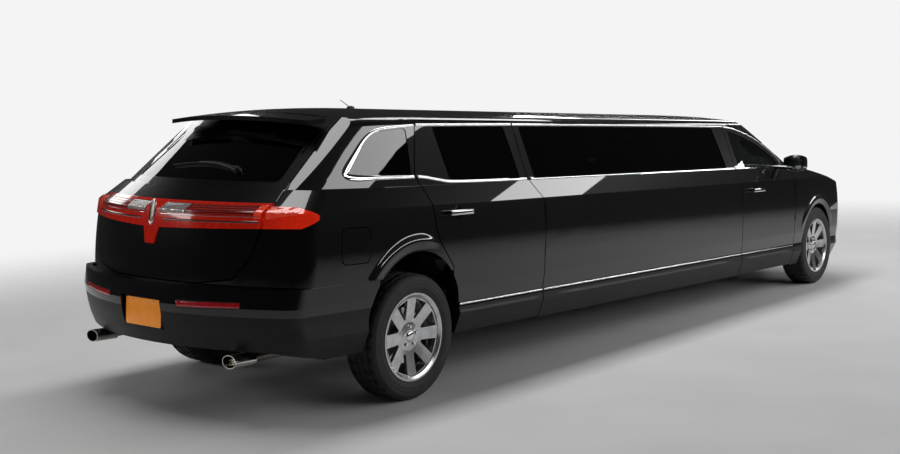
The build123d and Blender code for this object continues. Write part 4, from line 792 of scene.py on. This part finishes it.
# Running gear and underside: a waxed steel frame, cast iron knuckles and engine, and a moulded plastic tank.
# The exhaust is welded from stainless tube and hangs under the floor.
def wax_surface(tree, place):
    """Brown-black wax over steel, half matt and uneven."""
    return {
        "Base Color": blotches(tree, place, 120, "#1d1c1a", "#2b2824"), "Roughness": 0.55, "IOR": 1.5,
        "Normal": bumps(tree, place, 12, 0.2, 0.2)}


wax = material("waxed_steel_plate", wax_surface)


def iron_surface(tree, place):
    """Rough grey iron with the grain of its sand mould."""
    return {
        "Base Color": blotches(tree, place, 35, "#4b4743", "#6a645e"), "Metallic": 0.8,
        "Roughness": 0.5, "Normal": bumps(tree, place, 3, 0.35, 0.15)}


iron = material("sand_cast_iron", iron_surface)


TIP_BEHIND_AXLE = 0.975


def stainless_surface(tree, place):
    """Tube dulled by heat, with polished tips behind the rear axle."""
    along_car = add(tree, "ShaderNodeSeparateXYZ", {"Vector": place}).outputs["X"]
    is_tip = add(tree, "ShaderNodeMath", {0: along_car, 1: REAR_AXLE_X - TIP_BEHIND_AXLE},
                 operation="LESS_THAN").outputs["Value"]
    dull = add(tree, "ShaderNodeBsdfPrincipled", {
        "Base Color": blotches(tree, place, 80, "#6f675e", "#948a80"), "Metallic": 1.0,
        "Roughness": 0.42, "Normal": bumps(tree, place, 8, 0.1, 0.1)}).outputs["BSDF"]
    bright = add(tree, "ShaderNodeBsdfPrincipled", {
        "Base Color": blotches(tree, place, 50, "#d6d3cd", "#e6e4df"), "Metallic": 1.0,
        "Roughness": 0.1, "Normal": bumps(tree, place, 20, 0.02, 0.05)}).outputs["BSDF"]
    return add(tree, "ShaderNodeMixShader", {"Fac": is_tip, 1: dull, 2: bright}).outputs["Shader"]


stainless = material("stainless_exhaust_tube", stainless_surface)
dress(wax, "underframe", "front_subframe", "rear_axle")
dress(iron, "knuckle_right", "knuckle_left", "engine_block")
dress(cladding, "fuel_tank")
dress(stainless, "exhaust")


# Front end: upright chromed grille bars, and clear lamp units let into the painted bumper.
# Chromed bezels with domed lenses are seated on them for both beams, and lower in the bumper for fog.
def head_lens_surface(tree, place):
    """Clear polycarbonate over a silvered bowl, seen as a pale shine."""
    return {
        "Base Color": blotches(tree, place, 30, "#aab0b6", "#dfe3e6"), "Roughness": 0.08, "IOR": 1.58,
        "Metallic": 0.35, "Coat Weight": 1.0, "Coat Roughness": 0.02,
        "Normal": bumps(tree, place, 18, 0.08, 0.4)}


head_lens = material("clear_polycarbonate_lens", head_lens_surface)
dress(chrome, "grille")
dress(head_lens, "headlamps")


BEZEL_WIRE = 0.004
DOME_SPREAD = 0.93
DOME_RISE = 0.22
NOSE_SKIN = skin("headlamps", "front_bumper")
ROUND_LAMPS = {
    "dipped_beam": (-0.735, 0.838, 0.043),
    "main_beam": (-0.610, 0.838, 0.040),
    "fog_lamp": (-0.680, 0.500, 0.038),
}
for name, (y, z, radius) in ROUND_LAMPS.items():
    square = square_on(*seen(NOSE_SKIN, "nose", y, z))
    bezel = bmesh.new()
    bmesh.ops.create_circle(
        bezel, cap_ends=False, segments=10, radius=BEZEL_WIRE,
        matrix=Matrix.Translation((radius, 0, 0)) @ Matrix.Rotation(math.radians(90), 4, "X"))
    bmesh.ops.spin(bezel, geom=list(bezel.edges), cent=(0, 0, 0), axis=(0, 0, 1), dvec=(0, 0, 0),
                   angle=math.tau, steps=40, use_merge=True)
    dome = bmesh.new()
    halves = (radius * DOME_SPREAD, radius * DOME_SPREAD, radius * DOME_RISE, 1)
    bmesh.ops.create_uvsphere(dome, u_segments=32, v_segments=14, radius=1.0, matrix=Matrix.Diagonal(halves))
    parts = ((bezel, "_bezel", chrome, "grille_bars"), (dome, "_dome", clear_lens, "head_lens"))
    for shape, part, look, slot in parts:
        move(shape, square)
        both_sides(shape, name + part, look, "car_body", slot)


# Windscreen wipers: two spring arms of black painted steel, turning on spindles in the cowl.
# Their rubber blades are parked along the foot of the glass.
SCREEN_SKIN = skin("windscreen", "cowl")
WIPER_SPANS = ((0.500, -0.050), (-0.080, -0.600))
for n, (pivot, tip) in enumerate(WIPER_SPANS):
    middle = (pivot + tip) / 2
    blade_path = [(tip, 1.262), (middle, 1.262), (pivot - 0.04, 1.250)]
    arm_path = [(middle, 1.268), (pivot - 0.10, 1.250), (pivot, 1.226)]
    blade = bent_strip(blade_path, (0.008,), 0.012, SCREEN_SKIN, 40, view="nose", across=4)
    on_body(blade, "screen_wiper_blade_%d" % (n + 1), cladding, "car_body", "black_trim")
    arm = bent_strip(arm_path, (0.008, 0.012, 0.018), 0.020, SCREEN_SKIN, 40, view="nose", across=4)
    on_body(arm, "screen_wiper_arm_%d" % (n + 1), trim_black, "car_body", "black_trim")


# Cabin: hide on the seats and benches, grained plastic on the dashboard and the wheel, a varnished bar.
# The wall behind the driver is faced with cloth, and loop carpet lies on the floor.
def leather_surface(tree, place):
    """Black hide with a pebbled grain and a low sheen."""
    return {
        "Base Color": blotches(tree, place, 90, "#1a1a1b", "#262627"), "Roughness": 0.45, "IOR": 1.5,
        "Normal": facets(tree, place, 2.5, 0.3, 0.4)}


def dashboard_surface(tree, place):
    """Soft matt plastic with a fine grain."""
    return {
        "Base Color": blotches(tree, place, 200, "#1b1b1c", "#212122"), "Roughness": 0.6, "IOR": 1.5,
        "Normal": bumps(tree, place, 1.8, 0.3, 0.1)}


def wood_surface(tree, place):
    """Dark walnut under clear varnish, with its grain drawn out twelve times along the car."""
    grain = add(tree, "ShaderNodeMapping", {"Vector": place, "Scale": (1.0, 12.0, 12.0)}).outputs["Vector"]
    return {
        "Base Color": blotches(tree, grain, 300, "#2e1509", "#5a2e15", 0.3, 0.7), "Roughness": 0.3,
        "IOR": 1.5, "Coat Weight": 1.0, "Coat Roughness": 0.05,
        "Normal": bumps(tree, grain, 60, 0.05, 0.1)}


def cloth_surface(tree, place):
    """Grey cloth in a plain weave of 3 mm threads, matt with a soft light at its edges."""
    weave = add(tree, "ShaderNodeTexChecker", {"Vector": place, "Scale": per_metre(3)}).outputs["Fac"]
    relief = add(tree, "ShaderNodeBump", {
        "Height": weave, "Strength": 0.3, "Distance": 0.5 * MILLIMETRE}).outputs["Normal"]
    return {
        "Base Color": blotches(tree, place, 60, "#2a2a2c", "#343437"), "Roughness": 0.9,
        "Sheen Weight": 0.3, "Normal": relief}


def carpet_surface(tree, place):
    """Near black loop pile without any gloss."""
    return {
        "Base Color": blotches(tree, place, 8, "#202022", "#2f2f32"), "Roughness": 0.95,
        "Sheen Weight": 0.2, "Normal": bumps(tree, place, 5, 0.6, 2.0)}


leather = material("black_grained_leather", leather_surface)
dash_skin = material("grained_soft_plastic", dashboard_surface)
wood = material("varnished_walnut", wood_surface)
cloth = material("woven_wall_cloth", cloth_surface)
carpet = material("loop_pile_carpet", carpet_surface)
dress(dash_skin, "dashboard", "steering_wheel")
dress(wood, "bar_console")
dress(cloth, "partition")
dress(carpet, "floor_pan")


# Seat cushions: foam under stitched leather, each a closed cover that swells between its seams.
# A short cloth simulation blows them up, and sewn channels are pressed in across them afterwards.
COVER_ROUND = 0.022
SWELL_PRESSURE = 4.0
SWELL_FRAMES = 12
SWELL_LIMIT = 0.014
CHANNEL_DEPTH = 0.007
CHANNEL_WIDTH = 0.010
CHANNEL_REACH = 3 * CHANNEL_WIDTH
CHANNEL_CORE = 0.02


def cushion_block(outline, span, along, longest_edge):
    """Rounded block from a level outline in millimetres, drawn over a span across the car or along it. Its
    faces are cut into triangles that are small enough to swell."""
    bm = bmesh.new()
    if along == "y":
        ring = [bm.verts.new((x / 1000, span[0] / 1000, z / 1000)) for x, z in outline]
        push = Vector((0, (span[1] - span[0]) / 1000, 0))
    else:
        ring = [bm.verts.new((span[0] / 1000, y / 1000, z / 1000)) for y, z in outline]
        push = Vector(((span[1] - span[0]) / 1000, 0, 0))
    grown = bmesh.ops.extrude_face_region(bm, geom=[bm.faces.new(ring)])
    far_end = [item for item in grown["geom"] if isinstance(item, bmesh.types.BMVert)]
    bmesh.ops.translate(bm, vec=push, verts=far_end)
    bmesh.ops.recalc_face_normals(bm, faces=bm.faces)
    bmesh.ops.bevel(bm, geom=list(bm.edges), offset=COVER_ROUND, segments=2, profile=0.5, affect="EDGES",
                    material=-1)
    bmesh.ops.triangulate(bm, faces=bm.faces)
    for _ in range(4):
        long_edges = [e for e in bm.edges if e.calc_length() > longest_edge]
        if not long_edges:
            break
        bmesh.ops.subdivide_edges(bm, edges=long_edges, cuts=1)
        bmesh.ops.triangulate(bm, faces=bm.faces)
    move(bm, LEVEL)
    return bm


def swell(made):
    """Blows the cover up for a few frames, and keeps at most SWELL_LIMIT of that."""
    rest = [v.co.copy() for v in made.data.vertices]
    swelling = made.modifiers.new("swell", "CLOTH")
    swelling.settings.use_pressure = True
    swelling.settings.uniform_pressure_force = SWELL_PRESSURE
    swelling.settings.effector_weights.gravity = 0.0
    swelling.settings.quality = 4
    swelling.point_cache.frame_end = SWELL_FRAMES + 2
    for frame_number in range(1, SWELL_FRAMES + 1):
        bpy.context.scene.frame_set(frame_number)
    swollen = made.evaluated_get(bpy.context.evaluated_depsgraph_get()).data
    places = [v.co.copy() for v in swollen.vertices]
    made.modifiers.remove(swelling)
    bpy.context.scene.frame_set(1)
    for v, before, after in zip(made.data.vertices, rest, places):
        moved = after - before
        if moved.length > SWELL_LIMIT:
            moved = moved.normalized() * SWELL_LIMIT
        v.co = before + moved


def press_channels(made, channels, axis):
    """Presses the sewn channels in across an axis, towards the cushion's middle line."""
    middle = sum((v.co for v in made.data.vertices), Vector()) / len(made.data.vertices)
    for v in made.data.vertices:
        for channel in channels:
            gap = abs(v.co[axis] - (LEVEL @ Vector((channel / 1000, channel / 1000, 0)))[axis])
            towards = middle - v.co
            towards[axis] = 0
            if gap < CHANNEL_REACH and towards.length > CHANNEL_CORE:
                v.co += towards.normalized() * (CHANNEL_DEPTH * math.exp(-(gap / CHANNEL_WIDTH) ** 2))


def pad(name, outline, span, channels, along="y", longest_edge=0.045):
    """Finished cushion, fixed in the car."""
    made = to_mesh(cushion_block(outline, span, along, longest_edge), name, leather)
    swell(made)
    press_channels(made, channels, 1 if along == "y" else 0)
    finer = made.modifiers.new("smooth_cover", "SUBSURF")
    finer.levels = finer.render_levels = 1
    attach(made, "car_body")
    return made


CUSHION = ((4446, 446), (4884, 446), (4936, 684), (4910, 718), (4562, 680), (4412, 632))
BACK = ((4530, 706), (4410, 1210), (4322, 1210), (4408, 664))
HEADREST = ((4386, 1262), (4382, 1404), (4330, 1404), (4322, 1262))
SEAT_SPANS = {"left": (166, 634), "right": (-634, -166)}
SEAM_OUT = 110
HEADREST_HALF = 135
for side, (low, high) in SEAT_SPANS.items():
    middle = (low + high) / 2
    seams = (middle - SEAM_OUT, middle + SEAM_OUT)
    head_span = (middle - HEADREST_HALF, middle + HEADREST_HALF)
    pad("front_cushion_" + side, CUSHION, (low, high), seams)
    pad("front_backrest_" + side, BACK, (low, high), seams)
    pad("front_headrest_" + side, HEADREST, head_span, ())
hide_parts("front_seats")

BENCH_SEAT = ((502, 446), (1004, 446), (1040, 776), (1024, 832), (650, 804), (500, 800))
BENCH_BACK = ((626, 826), (512, 1222), (420, 1222), (500, 826))
BENCH_SPAN = (-514, 514)
BENCH_SEAMS = (-354, -177, 0, 177, 354)
SIDE_SEAT = ((418, 446), (822, 446), (822, 824), (396, 834), (390, 794))
SIDE_BACK = ((704, 846), (822, 846), (822, 1162), (756, 1162))
SIDE_SPAN = (1466, 4134)
SIDE_SEAMS = range(1750, 4100, 300)
bench = pad("rear_bench_cushion", BENCH_SEAT, BENCH_SPAN, BENCH_SEAMS)
pad("rear_bench_back", BENCH_BACK, BENCH_SPAN, BENCH_SEAMS)
pad("side_bench_cushion", SIDE_SEAT, SIDE_SPAN, SIDE_SEAMS, along="x", longest_edge=0.06)
pad("side_bench_back", SIDE_BACK, SIDE_SPAN, SIDE_SEAMS, along="x", longest_edge=0.06)
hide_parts("bench_seats")


# Studio: a flat pale floor that fades into an even white surround, which only the camera sees.
# Soft panels on all sides light the car and draw long reflections on its paint.
FLOOR_SIZE = 60.0
FLOOR_FADE = (3.2, 7.6)


def floor_surface(tree, place):
    """Pale matt floor that turns clear away from the car, so that it ends unseen."""
    pale = add(tree, "ShaderNodeBsdfPrincipled", {
        "Base Color": blotches(tree, place, 900, "#e4e4e4", "#eaeaea"), "Roughness": 0.75,
        "Normal": bumps(tree, place, 20, 0.02, 0.2)}).outputs["BSDF"]
    oblong = add(tree, "ShaderNodeMapping", {"Vector": place, "Scale": (0.5, 1.0, 1.0)}).outputs["Vector"]
    reach = add(tree, "ShaderNodeVectorMath", {0: oblong}, operation="LENGTH").outputs["Value"]
    fade = add(tree, "ShaderNodeMapRange", {
        "Value": reach, "From Min": FLOOR_FADE[0], "From Max": FLOOR_FADE[1]},
        interpolation_type="SMOOTHSTEP").outputs["Result"]
    nothing = add(tree, "ShaderNodeBsdfTransparent", {}).outputs["BSDF"]
    return add(tree, "ShaderNodeMixShader", {"Fac": fade, 1: pale, 2: nothing}).outputs["Shader"]


floor_paint = material("matt_studio_floor", floor_surface)
bm = bmesh.new()
bmesh.ops.create_grid(bm, x_segments=1, y_segments=1, size=FLOOR_SIZE)
to_mesh(bm, "studio_floor", floor_paint, smooth=False)

world = bpy.data.worlds.new("studio_surround")
bpy.context.scene.world = world
world.use_nodes = True
tree = world.node_tree
tree.nodes.clear()
to_camera = add(tree, "ShaderNodeLightPath", {}).outputs["Is Camera Ray"]
white = add(tree, "ShaderNodeBackground", {"Color": colour("#f4f4f4"), "Strength": 1.0}).outputs["Background"]
dim = add(tree, "ShaderNodeBackground", {"Color": colour("#6a6a6a"), "Strength": 0.16}).outputs["Background"]
surround = add(tree, "ShaderNodeMixShader", {"Fac": to_camera, 1: dim, 2: white}).outputs["Shader"]
add(tree, "ShaderNodeOutputWorld", {"Surface": surround})

# Each panel's name, its place, the point it faces, its size and its power in watts.
SOFT_PANELS = (
    ("overhead_panel", (0.0, 0.5, 6.5), (0.0, 0.5, 0.0), (13.0, 1.6), 330.0),
    ("right_panel", (8.15, -10.12, 3.9), (1.15, -0.62, 1.1), (15.9, 1.1), 415.0),
    ("left_panel", (0.5, 9.5, 4.6), (0.0, 0.0, 0.9), (9.0, 1.6), 110.0),
    ("tail_panel", (-9.5, 5.5, 3.3), (-3.8, 0.0, 0.9), (5.0, 1.6), 110.0),
    ("canopy_strip", (6.0, -6.0, 6.4), (2.0, 0.0, 1.4), (22.0, 0.8), 300.0),
    ("nose_panel", (11.0, 5.0, 3.8), (3.5, 0.0, 0.9), (5.0, 1.5), 120.0))
for name, spot, aim, size, power in SOFT_PANELS:
    lamp = bpy.data.lights.new(name, "AREA")
    lamp.shape, lamp.size, lamp.size_y, lamp.energy = "RECTANGLE", size[0], size[1], power
    panel = bpy.data.objects.new(name, lamp)
    panel.location = spot
    panel.rotation_euler = (Vector(aim) - Vector(spot)).to_track_quat("-Z", "Y").to_euler()
    bpy.context.scene.collection.objects.link(panel)


# Camera: stands behind the right rear corner at eye height, where the photograph was taken from.
# Its lens is shifted down instead of tilted, so that uprights stay nearly upright.
LENS_MM = 49.12
SENSOR_MM = 36.0
SHIFT_DOWN = 0.1053
HEADING = math.radians(38.52)
PITCH_DOWN = math.radians(1.27)
BEHIND_REAR_AXLE = 5.4693
EYE_Y = -5.5558
EYE_Z = 1.7271
camera = bpy.data.cameras.new("photograph_camera")
camera.lens = LENS_MM
camera.sensor_width = SENSOR_MM
camera.shift_y = -SHIFT_DOWN
stand = bpy.data.objects.new("photograph_camera", camera)
stand.location = (REAR_AXLE_X - BEHIND_REAR_AXLE, EYE_Y, EYE_Z)
stand.rotation_euler = (math.radians(90) - PITCH_DOWN, 0.0, HEADING - math.radians(90))
bpy.context.scene.collection.objects.link(stand)
bpy.context.scene.camera = stand
bpy.context.scene.view_settings.view_transform = "Standard"
